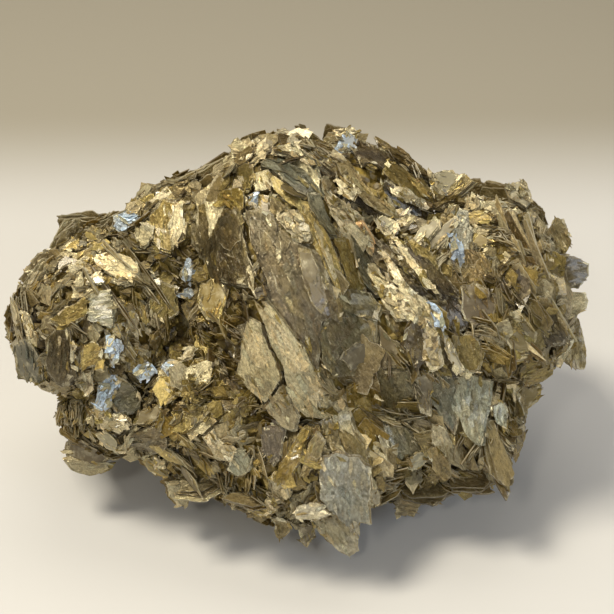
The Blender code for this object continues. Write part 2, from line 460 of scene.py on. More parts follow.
class Pattern:
    """One cleaved sheet's shape, flat and of thickness 1, held as arrays."""

    rim_width = 0.13
    inner_width = 0.75
    plain_fringe = 0.3

    def __init__(self, outline, corners, rings, ragged, rng):
        clear_selection()
        bpy.ops.mesh.primitive_circle_add(vertices=corners, radius=1, fill_type="NGON")
        blank = bpy.context.active_object
        if rings:
            bpy.ops.object.mode_set(mode="EDIT")
            bpy.ops.mesh.select_all(action="SELECT")
            bpy.ops.mesh.inset(thickness=self.rim_width)
            for _ in range(rings - 1):
                bpy.ops.mesh.inset(thickness=self.inner_width / rings)
            bpy.ops.object.mode_set(mode="OBJECT")
        self.cleave(blank.data, outline, corners, ragged, rng)
        solid = blank.modifiers.new("thickness", "SOLIDIFY")
        solid.thickness = 1
        solid.offset = 0
        bpy.ops.object.modifier_apply(modifier=solid.name)
        self.read(blank.data, 1.0 if rings else self.plain_fringe)
        bpy.data.objects.remove(blank, do_unlink=True)

    @staticmethod
    def cleave(mesh, outline, corners, ragged, rng):
        """Moves each corner out or in to the outline, with the rim chipped here and there."""
        gap = math.tau / corners
        angles = [slot * gap for slot in range(corners)]
        for point in outline:
            angle = math.atan2(point.y, point.x) % math.tau
            angles[round(angle / gap) % corners] = angle
        torn = [noise.noise((slot * 0.35, ragged * 50, rng.random() * 0.2)) > 0
                for slot in range(corners)]
        reaches = []
        for slot, angle in enumerate(angles):
            chip = rng.random() * ragged * (1.0 if torn[slot] else 0.25)
            chip += ragged * 0.5 * noise.noise((slot * 0.9, ragged * 70, 3.0))
            reaches.append((ray_reach(outline, angle), chip))
        for vert in mesh.vertices:
            ring = vert.co.xy.length
            slot = round(math.atan2(vert.co.y, vert.co.x) / gap) % corners
            reach, chip = reaches[slot]
            reach *= ring * (1 - chip * ring ** 4)
            vert.co.xy = (reach * math.cos(angles[slot]), reach * math.sin(angles[slot]))

    def read(self, mesh, rim_fringe):
        self.co = np.empty(len(mesh.vertices) * 3)
        mesh.vertices.foreach_get("co", self.co)
        self.co = self.co.reshape(-1, 3)
        self.corners = np.empty(len(mesh.loops), int)
        mesh.loops.foreach_get("vertex_index", self.corners)
        self.starts = np.empty(len(mesh.polygons), int)
        mesh.polygons.foreach_get("loop_start", self.starts)
        counts = np.diff(np.append(self.starts, len(self.corners)))
        heights = self.co[self.corners, 2]
        low = np.minimum.reduceat(heights, self.starts)
        high = np.maximum.reduceat(heights, self.starts)
        self.material = (high - low > 0.5).astype(int)
        self.rim = np.repeat(self.material == 1, counts)
        self.around = np.arctan2(self.co[:, 1], self.co[:, 0])
        self.fringe = np.zeros(len(self.co))
        self.fringe[self.corners[self.rim]] = rim_fringe


def turn_matrix(heading, lean, dip):
    """Turns a sheet from lying in the face: dip lifts its far end, lean lifts its left side."""
    turn = (
        Matrix.Rotation(math.radians(heading), 3, "Z")
        @ Matrix.Rotation(math.radians(-dip), 3, "Y")
        @ Matrix.Rotation(math.radians(lean), 3, "X")
    )
    return np.array(turn)


class Sheets:
    """Gathers sheets as arrays and makes them one piece."""

    limits = None       # the low and high corners that every sheet stays between
    slide = 50          # the finish's pattern is slid by up to this much from sheet to sheet
    sharpest = 28       # degrees between faces that still look smooth

    def __init__(self, name):
        self.name = name
        self.co, self.corners, self.starts = [], [], []
        self.material, self.uv, self.tint, self.wear = [], [], [], []
        self.count = 0
        self.loops = 0

    def add(self, pattern, place, turn, size, tint, rng, lift=0.0, grain=0.0, crackle=0.0,
            polish=None):
        """size scales the pattern, with its thickness in mm; lift raises each of its points."""
        local = pattern.co * size
        local[:, 2] += lift
        world = (local @ turn.T + place) @ DISPLAY_TURN.T + DISPLAY_PLACE
        low, high = self.limits
        if (world.min(0) < low).any() or (world.max(0) > high).any():
            return
        slip = (rng.uniform(-self.slide, self.slide), rng.uniform(-self.slide, self.slide))
        angle = math.radians(grain)
        along = np.array(((math.cos(angle), -math.sin(angle)), (math.sin(angle), math.cos(angle))))
        flat = local[pattern.corners, :2] @ along
        round_rim = np.stack((
            pattern.around[pattern.corners] * size[0],
            pattern.co[pattern.corners, 2] * size[2]), axis=1)
        self.uv.append(np.where(pattern.rim[:, None], round_rim, flat) + slip)
        self.co.append(world)
        self.corners.append(pattern.corners + self.count)
        self.starts.append(pattern.starts + self.loops)
        self.material.append(pattern.material)
        self.tint.append(np.tile((*tint, 1.0), (len(world), 1)))
        wear = np.empty((len(world), 4))
        wear[:, 0] = pattern.fringe
        wear[:, 1] = crackle
        wear[:, 2] = rng.random() if polish is None else polish
        wear[:, 3] = 1
        self.wear.append(wear)
        self.count += len(world)
        self.loops += len(pattern.corners)

    def make(self, face, edge):
        mesh = bpy.data.meshes.new(self.name)
        corners = np.concatenate(self.corners)
        starts = np.concatenate(self.starts)
        mesh.vertices.add(self.count)
        mesh.vertices.foreach_set("co", np.concatenate(self.co).ravel())
        mesh.loops.add(len(corners))
        mesh.loops.foreach_set("vertex_index", corners)
        mesh.polygons.add(len(starts))
        mesh.polygons.foreach_set("loop_start", starts)
        mesh.polygons.foreach_set("material_index", np.concatenate(self.material))
        mesh.update(calc_edges=True)
        mesh.uv_layers.new(name="Sheet").data.foreach_set("uv", np.concatenate(self.uv).ravel())
        for name, values in (("tint", self.tint), ("wear", self.wear)):
            layer = mesh.color_attributes.new(name, "FLOAT_COLOR", "POINT")
            layer.data.foreach_set("color", np.concatenate(values).ravel())
        mesh.materials.append(face)
        mesh.materials.append(edge)
        piece = bpy.data.objects.new(self.name, mesh)
        bpy.context.scene.collection.objects.link(piece)
        clear_selection()
        piece.select_set(True)
        bpy.context.view_layer.objects.active = piece
        bpy.ops.object.shade_smooth_by_angle(angle=math.radians(self.sharpest))
        return piece


def vary(tint, rng, amount=0.16):
    """The same tint a little lighter or darker, warmer or cooler."""
    light = 1 + rng.uniform(-amount, amount)
    warm = rng.uniform(-amount, amount) * 0.35
    return (tint[0] * light * (1 + warm), tint[1] * light, tint[2] * light * (1 - warm))


def pick(palette, place):
    """A tint from the palette for a place from 0, its dark end, to 1."""
    total = sum(share for _, share in PALETTES[palette])
    reach = min(max(place, 0.0), 0.9999) * total
    for tint, share in PALETTES[palette]:
        reach -= share
        if reach < 0:
            return tint
    return PALETTES[palette][-1][0]


def skin(u, v):
    """Depth w of the front of the masses at a place on the display face."""
    depths = []
    for _, middle, radii in MASSES:
        inside = 1 - ((u - middle[0]) / radii[0]) ** 2 - ((v - middle[1]) / radii[1]) ** 2
        if inside > 0:
            depths.append(middle[2] + radii[2] * math.sqrt(inside))
    return max(depths, default=RIM_W)


def even_skin(u, v):
    """The same for arrays of places, evened out over a few millimetres."""
    total = 0.0
    outside = -99.0
    steps = ((0, 0), (3, 0), (-3, 0), (0, 3), (0, -3))
    for du, dv in steps:
        depth = np.full(np.shape(u), outside)
        for _, middle, radii in MASSES:
            inside = 1 - ((u + du - middle[0]) / radii[0]) ** 2 - (
                (v + dv - middle[1]) / radii[1]) ** 2
            bulge = middle[2] + radii[2] * np.sqrt(np.maximum(inside, 0))
            depth = np.where(inside > 0, np.maximum(depth, bulge), depth)
        total = total + np.where(depth == outside, RIM_W, depth)
    return total / len(steps)


def buried(point, skip, margin):
    """Whether a place on one mass lies well inside another."""
    for index, (_, middle, radii) in enumerate(MASSES):
        reach = sum(((p - m) / r) ** 2 for p, m, r in zip(point, middle, radii))
        if index != skip and reach < margin:
            return True
    return False


def skin_place(rng):
    """A random place on the skin of the masses, above the floor, with its outward direction."""
    weights = [radii[0] * radii[1] + radii[1] * radii[2] for _, _, radii in MASSES]
    while True:
        index = rng.choices(range(len(MASSES)), weights)[0]
        _, middle, radii = MASSES[index]
        direction = Vector([rng.gauss(0, 1) for _ in range(3)]).normalized()
        point = Vector([m + r * d for m, r, d in zip(middle, radii, direction)])
        if buried(point, index, 0.97) or (DISPLAY @ point).z < ROOT_CLEAR * MM:
            continue
        outward = Vector([d / r for d, r in zip(direction, radii)]).normalized()
        return point, outward


# ---------------------------------------------------------------- groundmass

GROUND_DEPTH = 2.2      # the ground lies this far under the skin
GROUND_VOXEL = 1.1
STEP_CELL = 2.3         # its steps, each this wide
FOLD_WIDTH = 6.0        # and its folds
ROUGH_HEIGHT = 1.6
GROUND_FLOOR = 0.1


def make_lumps():
    """One rounded lump for each mass, a little smaller than it."""
    lumps = []
    for name, middle, radii in MASSES:
        clear_selection()
        bpy.ops.mesh.primitive_ico_sphere_add(subdivisions=4, radius=1)
        lump = bpy.context.active_object
        lump.name = name + "_lump"
        lump.data.transform(Matrix.Diagonal([r - GROUND_DEPTH for r in radii] + [1]))
        lump.data.transform(Matrix.Translation(middle))
        lumps.append(lump)
    return lumps


def roughen(mesh):
    """Steps and folds the ground's skin, as fine intergrown mica is."""
    skins = [(vert.co.copy(), vert.normal.copy()) for vert in mesh.vertices]
    for vert, (place, outward) in zip(mesh.vertices, skins):
        steps = noise.cell(place / STEP_CELL) * ROUGH_HEIGHT
        folds = noise.noise(place / FOLD_WIDTH) * ROUGH_HEIGHT
        vert.co = place + outward * (steps + folds - ROUGH_HEIGHT / 2)


def make_ground():
    """The rounded masses grown into one lump under the sheets, cut off flat at the floor."""
    lumps = make_lumps()
    clear_selection()
    for lump in lumps:
        lump.select_set(True)
    bpy.context.view_layer.objects.active = lumps[0]
    bpy.ops.object.join()
    ground = bpy.context.active_object
    ground.name = "fine_ground"
    remesh = ground.modifiers.new("grow_together", "REMESH")
    remesh.mode = "VOXEL"
    remesh.voxel_size = GROUND_VOXEL
    bpy.ops.object.modifier_apply(modifier=remesh.name)
    roughen(ground.data)
    ground.data.transform(DISPLAY)
    clear_selection()
    ground.select_set(True)
    bpy.context.view_layer.objects.active = ground
    bpy.ops.object.mode_set(mode="EDIT")
    bpy.ops.mesh.select_all(action="SELECT")
    bpy.ops.mesh.bisect(
        plane_co=(0, 0, GROUND_FLOOR * MM), plane_no=(0, 0, 1), use_fill=True,
        clear_inner=True)
    bpy.ops.object.mode_set(mode="OBJECT")
    ground.data.materials.clear()
    ground.data.materials.append(ground_finish())
    return ground


# ---------------------------------------------------------------- books laid by size

# Books in the middle of the face lie whole, sunk this far under the drawn sheets
RIDGE_HALF_WIDTH = 24
RIDGE_FOOT = -36
RIDGE_TOP = 40
RIDGE_SUNK = 2.6
BROKEN_LENGTH = 11      # and the rest are broken into parts of about this length

# Name, place (u, v), length, width, thickness, heading, lean, dip, rise, tint, sheets, bend
BOOKS = (
    ("main_sheet", 2, 13, 34, 20, 5, -62, 18, 0, -2, DUSK, 5, -2.2),
    ("upper_left_sheet", -17, 24, 32, 18, 5, -72, 16, 4, -2, BROWN, 4, -1.5),
    ("lower_main_sheet", 12.6, -5.3, 26, 18, 5, -58, 18, -4, -1.5, DUSK, 5, -0.8),
    ("dark_top_sheet", 1, 36, 24, 12, 4, -60, 14, 24, -1, SLATE, 4, -1.0),
    ("pale_sheet_left", -8.3, -8, 24, 12, 3, -65, 4, -6, -1, SILVER, 3, -0.5),
    ("pale_sheet_middle", 0.4, -6.6, 27, 9, 3, -62, 10, -6, -1, SILVER, 3, -0.5),
    ("olive_sheet", 16.4, -23, 17, 12, 3, -52, 8, -18, 0, HONEY, 3, -0.5),
    ("fan_blade", 38, -17, 22, 13, 3, -75, -10, -12, -1, TAN, 3, -0.6),
    ("greenish_blade", 28, -29, 18, 8, 3, -85, 5, -20, -0.5, SLATE, 3, -0.4),
    ("rim_right_shoulder", 55, 32, 18, 11, 4, -35, 40, 0, -4, TAN, 5, 0),
    ("rim_right_crown", 48, 35, 18, 9, 4, -8, 48, 0, -5, TAN, 5, 0),
    ("rim_right_foot", 46, -28, 16, 10, 4, -66, -35, 0, 3, TAN, 5, 0),
    ("foot_right", 36, -37, 24, 9, 4, 4, -35, 0, 6, DUSK, 5, 0),
    ("left_brow", -58, 20, 20, 8, 3, 48, 38, 0, -0.5, SILVER, 5, 0),
    ("left_crown", -47, 27.5, 22, 8, 3, 8, 48, 0, -4, SILVER, 5, 0),
    ("slope_book_upper", -22, 38, 28, 12, 5, 30, 44, 0, -3, PEARL, 6, 0),
    ("slope_book_lower", -36, 30, 24, 10, 4, 26, 40, 0, -3, SILVER, 6, 0),
    ("top_blade", 6, 48, 18, 10, 4, -14, 52, 0, -6, PEARL, 5, 0),
    ("top_knob", -4, 45, 13, 9, 4, 24, 46, 0, -5, CREAM, 5, 0),
    ("belly_book", -24, -14, 18, 12, 4, 60, -18, -8, -1, OLIVE, 5, 0),
    ("under_book", -16, -38, 24, 8, 3, -8, -44, 0, 5, DUSK, 5, 0),
    # leaves seen on edge on the right lobe
    ("right_rib_1", 51.5, 22, 20, 5, 1.2, -68, 60, 0, 1.0, PEARL, 2, -0.3),
    ("right_rib_2", 53.5, 18, 20, 5, 1.4, -66, 64, 0, 1.0, BROWN, 3, -0.3),
    ("right_rib_3", 56, 15, 16, 5, 1.2, -64, 62, 0, 1.0, CREAM, 2, -0.3),
    ("right_rib_4", 54, 8, 18, 5, 1.4, -60, 60, 0, 1.2, TAN, 3, -0.3),
    ("right_rib_5", 58.5, 6, 16, 5, 1.4, -56, 58, 0, 1.0, SILVER, 3, -0.3),
    ("right_rib_6", 47.5, -4, 12, 5, 1.2, -78, 60, 0, 1.4, OLIVE, 2, -0.3),
    ("right_rib_7", 51.5, -2, 14, 4, 1.2, -48, 56, 0, 1.4, PEARL, 2, -0.3),
    # leaves seen on edge on the left lobe
    ("left_rib_1", -37.5, 14.5, 15, 4, 1.0, -52, 60, 0, 1.6, PEARL, 2, -0.2),
    ("left_rib_2", -34.5, 12.5, 16, 4, 1.0, -52, 58, 0, 1.4, TAN, 2, -0.2),
    ("left_rib_3", -41, 8.5, 14, 4, 1.0, -58, 56, 0, 1.4, CREAM, 2, -0.2),
    ("left_rib_4", -43.5, 6, 12, 4, 1.0, -62, 60, 0, 1.6, PEARL, 2, -0.2),
    ("left_rib_5", -26.5, 5.5, 9, 3.4, 1.2, -52, 40, 0, 2.2, SILVER, 2, 0),
    ("left_rib_6", -21.5, 6.5, 9, 3.0, 1.0, 50, 40, 0, 2.2, PEARL, 2, 0),
    ("left_rib_7", -23, -3.5, 8, 2.6, 1.0, -50, 40, 0, 2.0, TAN, 2, 0),
    ("left_rib_9", -65, 3.5, 10, 3.5, 1.2, -66, 50, 0, 1.5, CREAM, 2, 0),
    ("left_rib_10", -26, -31, 12, 4, 1.6, -46, 52, 0, 2.0, TAN, 3, 0),
    ("left_rib_11", -29.5, -28, 11, 4, 1.6, -44, 52, 0, 1.6, GOLD, 3, 0),
    ("left_rib_12", -22, -28.5, 11, 4, 2.0, -52, 48, 0, 1.6, HONEY, 4, 0),
)

# ---------------------------------------------------------------- sheets drawn by outline

RISE_SHARE = 0.75       # how much of its written rise a drawn sheet takes
STIFF = 0.95            # sheets this polished stay flat, with whole edges
SKYWARD = (0.36, 0.03)  # the way a sheet faces that mirrors the sky

# Name, outline on the display face, the way it faces (right, up), rise, thickness, sheets,
# tint, heading of its grain, polish
DRAWN = {
    "ridge_sheets": (
        ("main", ((-11.3, 28.5), (-5, 28), (0, 23.5), (4, 22.3), (6.3, 20), (8.5, 14), (10, 9),
                  (9, 5), (6.5, 3.5), (5.5, 0), (6, -6), (9, -13), (7, -13.5), (4.8, -8.5),
                  (2.8, -3), (-0.2, 1), (-5.2, 7.3), (-7.2, 10), (-7.4, 14), (-9.8, 20)),
         (-0.04, 0.0), 1.6, 3.2, 5, HAZEL, -64, 0.05),
        ("eye", ((-10.4, 10.5), (-9.8, 11.7), (-8.7, 12), (-7.6, 11.4), (-7.4, 10.2),
                 (-8.2, 9.1), (-9.6, 9.2)), (-0.1, 0.1), 3.6, 0.9, 3, UMBER, 0, 0.3),
        ("olive_strip", ((-0.5, 35.3), (3, 33.5), (5.3, 30), (8, 25.5), (10.4, 20), (12.4, 14),
                         (11.5, 9.5), (9.8, 9), (8.6, 14), (4.2, 22.3), (1.5, 28.5)),
         (0.10, 0.12), 1.3, 2.4, 4, GOLD, -64, 0.5),
        ("brown_strip", ((9, 24.5), (14, 24.3), (16, 18), (18.5, 12), (15, 9.5), (11.3, 9.5),
                         (12.4, 14), (10.6, 20)), (0.15, 0.10), 1.0, 2.2, 3, OLIVE, -60, 0.4),
        ("main_corner", ((-11.6, 30.4), (-8.4, 31.4), (-5.4, 29.6), (-4, 26.4), (-5.4, 22.8),
                         (-8.6, 19.6), (-10.4, 22)), (0.10, -0.14), 2.9, 1.0, 3, HAZEL, -64, 0.1),
        ("cream_patch", ((-6, 28.9), (-3.6, 30), (-1.4, 30.9), (0.4, 31), (2.2, 28), (4.4, 24.5),
                         (3.6, 22.8), (0.5, 23.5), (-2, 26), (-4, 28)), (0.06, -0.05), 2.8,
         0.9, 2, CREAM, -50, 0.2),
        ("upper_left", ((-27, 34), (-19, 34.5), (-14, 32.5), (-12.3, 29), (-11.6, 24),
                        (-10.2, 19), (-8, 14.3), (-10, 11.8), (-14, 12.5), (-20, 14),
                        (-24, 20), (-28, 24), (-29, 30)),
         (-0.20, 0.04), 1.2, 3.0, 5, PEAT, -66, 0.15),
        ("silvery_patch", ((-27, 37), (-21, 41), (-15, 42), (-12.8, 40), (-14, 37), (-19, 36.5),
                           (-24, 33)), (-0.2, 0.3), 2.4, 0.9, 3, SILVER, 15, 0.05),
        ("upper_olive", ((-15.5, 43), (-12, 44.5), (-10.4, 42), (-9.8, 38), (-11, 35),
                         (-12.6, 35.4), (-13.2, 39)), (-0.1, 0.3), 2.2, 1.6, 3, OLIVE, -70,
         0.7),
        ("under_pearl", ((-20, 37), (-14, 36.8), (-12.4, 35.5), (-11.8, 31), (-13, 30),
                         (-16, 32.5), (-20, 33.5)), (-0.2, 0.1), 2.4, 1.2, 3, HONEY, -50, 0.6),
        # painted shade: a dark umber sheet where the recess beside the main sheet lies in shadow
        ("lower_left_dark", ((-19.5, 21), (-14, 19), (-11, 15.5), (-12, 12.8), (-16, 13.5),
                             (-20, 16)), (-0.35, -0.1), 2.0, 1.0, 2, UMBER, -55, 0.6),
        ("pale_top", ((-9.8, 41), (-6.6, 41.6), (-4.8, 38.5), (-5.8, 35.6), (-9.6, 35.2)),
         (-0.05, 0.2), 1.6, 1.6, 3, FROST, -70, 0.5),
        ("middle_top", ((-6.6, 41.2), (-4, 39.3), (0.2, 34.7), (2.2, 31), (-1.2, 31.8),
                        (-5.4, 36.3)), (0.0, 0.2), 1.8, 1.6, 3, GOLD, -50, 0.6),
        ("brown_facet", ((-9.9, 35.2), (-6, 35.2), (-1.8, 31.6), (-1.4, 30.3), (-5, 29.2),
                         (-9.9, 28.8)), (0.0, 0.1), 1.5, 1.6, 3, HONEY, -60, 0.6),
        ("dark_facet_top", ((-6, 35), (-2.2, 31.8), (-4.8, 29.8), (-6.4, 30.6)), (0.1, -0.1),
         2.4, 0.8, 2, BROWN, -60, 0.6),
        # painted sky reflection: a pale blue chip for a glint of the sky
        ("white_chip", ((-10.9, 34.6), (-9.4, 35.6), (-9.4, 33), (-10.6, 31.8)), SKYWARD,
         2.8, 0.6, 2, SKY_GLINT, -80, 0.5),
        ("dark_top", ((-9, 43.6), (-8, 46.8), (-5, 45.4), (-1, 43.2), (2.5, 41.4), (4.8, 38),
                      (6.4, 35.5), (4, 32.8), (0.6, 34.4), (-2.4, 37.5), (-6, 41.6)),
         (0.0, 0.25), 2.4, 2.4, 4, SLATE, -42, 0.5),
        ("cream_top", ((-6, 47.5), (-3, 48.8), (1, 48.6), (3, 46.2), (5.6, 44.5), (6.2, 42.8),
                       (4, 40.4), (2.4, 41.6), (1, 43), (-2, 44.6), (-5, 45.2)),
         (-0.05, 0.5), 2.8, 1.6, 4, CREAM, -30, 0.3),
        ("fold_top", ((1, 47.4), (4.5, 45.4), (8, 43.4), (10.6, 40), (7.5, 38.6), (5.4, 39.8),
                      (6.6, 43)), (0.2, 0.2), 1.4, 2.0, 4, UMBER, -40, 0.5),
        ("pearl_top", ((3, 48.8), (7, 48.8), (10, 46.6), (11, 43.2), (9, 43.2), (6, 46.2)),
         (0.0, 0.4), 2.6, 1.4, 3, CREAM, -40, 0.3),
        ("slate_strip_upper", ((3, 35.6), (6.4, 35.6), (7.2, 31.5), (9, 27), (12, 24.6),
                               (8.5, 24.4), (5.6, 28.5), (3.4, 32)), (0.22, 0.12), 2.8, 2.4, 3,
         SLATE, -60, 0.3),
        ("slate_strip_lower", ((13, 24.6), (16.5, 22.5), (19, 18.5), (20.6, 14.5), (22.6, 10.5),
                               (19.5, 10), (16.2, 13.5), (14, 18.5)), (0.28, 0.10), 1.8, 2.2, 4,
         SLATE, -56, 0.4),
        ("pale_chip", ((17.8, 15.2), (20, 15.8), (22.4, 12), (22.2, 10.6), (20, 12)),
         (0.1, 0.1), 3.0, 0.7, 2, FROST, -45, 0.2),
        ("pale_middle", ((-10.3, 8.3), (-7.4, 9.3), (-5.3, 7), (-0.4, 0.6), (2.5, -3.5),
                         (4.6, -9), (7.5, -14), (11.5, -18), (12.4, -20), (7, -22), (2, -21),
                         (-1, -18), (-2.4, -12.5), (-3, -7.4), (-6, -2), (-7.6, 3)),
         (-0.10, -0.12), 1.2, 2.0, 4, FROST, -62, 0.3),
        ("pale_left", ((-11, 4.6), (-8, 3), (-6.8, -1.2), (-4.8, -6), (-3.6, -10.6),
                       (-4.4, -12), (-8, -17.4), (-13, -13), (-15, -10), (-13.6, -6), (-13, -2)),
         (-0.20, -0.15), 1.8, 1.8, 4, FROST, -64, 0.3),
        ("pale_tail", ((-3.8, -12), (-2, -14.5), (0.4, -20), (-0.4, -23.6), (-2.6, -24),
                       (-4.4, -22), (-7.8, -17.8)), (-0.05, -0.20), 2.0, 1.2, 3, SILVER, -60,
         0.5),
        ("centre_lower", ((5.6, 1.8), (8, 4.6), (12, 6.6), (17, 6.8), (20, 4), (20.6, -8.6),
                          (14, -10.4), (9, -10.4), (6.6, -6.4)), (0.0, -0.05), 0.5, 2.0, 5,
         LICHEN, -58, 0.3),
        ("centre_dark", ((10, 12), (15, 11), (20, 9.6), (22.6, 5), (26, -2), (27, -8.5),
                         (20.2, -9), (20.2, 3.5), (16.5, 6), (11, 6)), (0.06, -0.02), 0.4, 2.0,
         4, SLATE, -58, 0.3),
        ("centre_top", ((10.6, 11.4), (14.6, 11.2), (18.6, 10.4), (21.4, 6.8), (20.4, 3.6),
                        (16.4, 4.6), (12, 5.8), (10, 7.6)), (0.1, 0.0), 1.9, 1.4, 3, LICHEN, -50,
         0.3),
        ("centre_tail", ((20, -9), (27, -8), (29, -14), (28, -20), (25, -23), (21, -17)),
         (0.12, -0.2), 1.4, 1.8, 4, LICHEN, -75, 0.4),
        ("honey_tail", ((11, -11), (18, -10), (20.5, -14), (21, -22), (18, -28.5), (15.5, -27),
                        (12.5, -20)), (0.1, -0.25), 1.0, 1.6, 3, HONEY, -70, 0.7),
        ("olive_tail", ((6, -22), (12.5, -20), (14.5, -25), (17, -28), (18.5, -33), (13, -32.5),
                        (9, -28)), (-0.05, -0.3), 1.2, 1.4, 3, TAN, -60, 0.5),
        ("gold_left_tail", ((9, -19.5), (13, -18.5), (14.3, -24.8), (10, -22.5)),
         (-0.2, -0.1), 2.6, 0.6, 1, PEARL, -60, 0.5),
    ),
    "crest_sheets": (
        ("crest_slab", ((10, 46), (13, 44.5), (15, 42), (17, 38), (20, 34.3), (24, 31.5),
                        (26.5, 29), (24, 29), (20.5, 30.5), (17.5, 32), (14, 36), (11, 40)),
         (0.05, 0.10), 2.4, 2.4, 5, TAN, -52, 0.3),
        # painted shade: a near-black sheet where the crest lies in shadow
        ("crest_shadow", ((14, 39), (17, 36.5), (21, 32), (25, 28), (23, 26.5), (19, 29.5),
                          (15.5, 32), (13, 33)), (0.35, 0.1), 1.2, 2.0, 4, SHADE_BLACK, -52, 0.3),
        ("plum_top", ((14.5, 50), (20, 49.3), (24, 46.8), (24.5, 42), (22, 39.5), (19, 41.5),
                      (16, 41), (14.8, 45)), (0.05, 0.25), 1.6, 2.4, 5, PLUM, -60, 0.6),
        ("brown_top", ((20, 49.3), (24, 47), (27, 45.5), (31, 42.3), (33.5, 39.5), (30, 39.5),
                       (26, 41), (22.5, 43.5)), (0.1, 0.4), 1.6, 2.4, 5, BROWN, -45, 0.6),
        ("olive_glass", ((23, 44), (28, 42), (33, 39), (36.5, 36), (35, 33), (31, 33.3),
                         (27, 35), (24, 37), (21.5, 39.5)), (0.1, 0.1), 2.0, 2.2, 4, OLIVE,
         -45, 0.7),
        ("yellow_rim", ((33.5, 40), (35.5, 38), (37.5, 35.5), (36, 33.5), (33.5, 34),
                        (34, 37)), (0.0, 0.1), 3.0, 1.2, 3, CREAM, -50, 0.3),
        # painted shade: a near-black sheet in the hollow
        ("deep_hollow", ((21, 38.5), (24, 37), (27, 35), (31, 32), (31, 30), (28, 30),
                         (25, 32), (22, 35.5)), (0.2, -0.3), 1.0, 1.8, 3, SHADE_BLACK, -40, 0.6),
        # painted shade: the first two streaks are near black, for faces between the cream edges
        # that lie in shade
        ("streak_1", ((19.8, 25.5), (21.5, 24), (25, 18), (29, 11.5), (31, 8.5), (28.5, 8),
                      (24.5, 12.5), (21, 18.5)), (0.5, 0.15), 2.2, 2.4, 6, SHADE_BLACK, -58, 0.2),
        ("streak_2", ((22, 26), (24.5, 24), (28.5, 18.5), (33, 12.5), (36.5, 8), (34.5, 7.5),
                      (30.5, 12), (26, 18)), (0.5, 0.15), 2.6, 2.4, 6, SHADE_BLACK, -58, 0.2),
        ("streak_3", ((27, 24), (30, 21.5), (34.5, 17), (37, 13.5), (40, 8.5), (36, 9.5),
                      (32, 15)), (0.4, 0.1), 2.2, 2.4, 5, UMBER, -54, 0.3),
        ("olive_slope", ((28, 25), (31, 22.5), (34.5, 19), (36.5, 14.5), (33.5, 14.5),
                         (30, 19)), (0.15, 0.15), 2.8, 1.6, 3, OLIVE, -52, 0.6),
        ("streak_cream", ((24.2, 22), (25.6, 21), (28.3, 17.3), (27.2, 16.8), (25.3, 18.6)),
         (0.0, 0.1), 3.6, 1.0, 2, CREAM, -58, 0.3),
        ("streak_edge_1", ((20.5, 22), (21.6, 22), (25.6, 14.8), (29.8, 9), (28.6, 9),
                           (24.1, 14.6)), (0.0, 0.1), 3.4, 0.7, 2, CREAM, -58, 0.3),
        ("streak_edge_2", ((24.5, 25), (25.6, 24.7), (30.3, 17), (34.8, 10.8), (33.6, 10.8),
                           (28.8, 16.6)), (0.0, 0.1), 3.8, 0.7, 2, PEARL, -58, 0.3),
        ("streak_edge_3", ((21.3, 28), (22.7, 27.3), (25.2, 22.6), (24, 22), (22, 25.5)),
         (0.0, 0.1), 3.8, 0.8, 2, CREAM, -58, 0.3),
        # painted shade: a near-black slab for a face turned from the light
        ("dark_slab", ((32.3, 3.5), (34, 1.5), (37, -2.5), (40, -7.5), (41.3, -10.5),
                       (37.5, -10), (35.3, -6.5), (33.2, -1.5)), (0.45, 0.0), 2.6, 1.6, 4,
         SHADE_BLACK, -60, 0.4),
        ("pale_rib", ((35, 1.5), (36.2, 1), (39.2, -3.5), (42.7, -10.5), (41, -10.5),
                      (37.8, -4.8)), (0.0, 0.0), 3.8, 0.8, 2, CREAM, -62, 0.3),
        ("cream_fringe", ((6.6, 38), (9.3, 34.5), (12.5, 32.3), (16, 30.8), (19.8, 25),
                          (20, 20.3), (17, 22.5), (14.4, 24.8), (12, 24.4), (10.4, 26.6),
                          (8.2, 31)), (0.05, 0.2), 2.2, 2.0, 5, CREAM, -50, 0.2),
        ("amber_chip", ((14, 27), (16.5, 28.5), (19.5, 23.5), (19, 20.5), (16.5, 23)),
         (0.0, 0.1), 3.6, 0.8, 2, ROSE, -55, 0.5),
        ("cream_leaf_top", ((10, 38.5), (12.5, 39), (15, 36), (14.5, 33), (12.5, 34)),
         (-0.2, 0.2), 4.0, 0.8, 2, CREAM, -60, 0.3),
        ("cream_slope", ((20.5, 12.5), (24, 12.8), (28.5, 9.5), (33.5, 5), (34.5, 1.5),
                         (31.5, 0.5), (28.5, 3.6), (25, 3.6), (22, 8)), (0.10, 0.10), 2.0, 2.4,
         5, CREAM, -50, 0.2),
        ("grey_bump", ((17.6, 17.2), (20, 17.4), (23, 13.4), (22.8, 11), (19.8, 12.6)),
         (0.1, 0.15), 2.6, 1.4, 3, SILVER, -45, 0.5),
        ("blue_slope", ((26.5, 12.5), (31, 9.5), (35.5, 5), (37, 1), (33, 2), (29, 6.5)),
         (0.30, 0.05), 2.2, 1.4, 3, PEARL, -54, 0.4),
        # painted sky reflection: a pale blue chip for a glint of the sky
        ("blue_chip", ((33.2, 8), (35, 6.5), (36.8, 2), (35, 2.8)), SKYWARD, 3.4, 0.6, 1,
         SKY_GLINT, -60, 0.6),
        ("dark_facet", ((27, 1), (30, 4.5), (32, 0), (32, -6), (29.5, -8.5), (27, -3)),
         (0.2, -0.1), 3.2, 1.0, 2, UMBER, -85, 0.7),
        ("cream_facet", ((32, 3), (35, -1), (36.3, -7.5), (33.5, -9.3), (31.5, -4.5)),
         (-0.1, -0.05), 3.4, 1.0, 3, CREAM, -75, 0.3),
        ("brown_face", ((34, 14), (38, 14), (42, 8), (43, 2), (39, 0), (36, 6)),
         (0.35, 0.0), 0.6, 2.0, 4, UMBER, -66, 0.7),
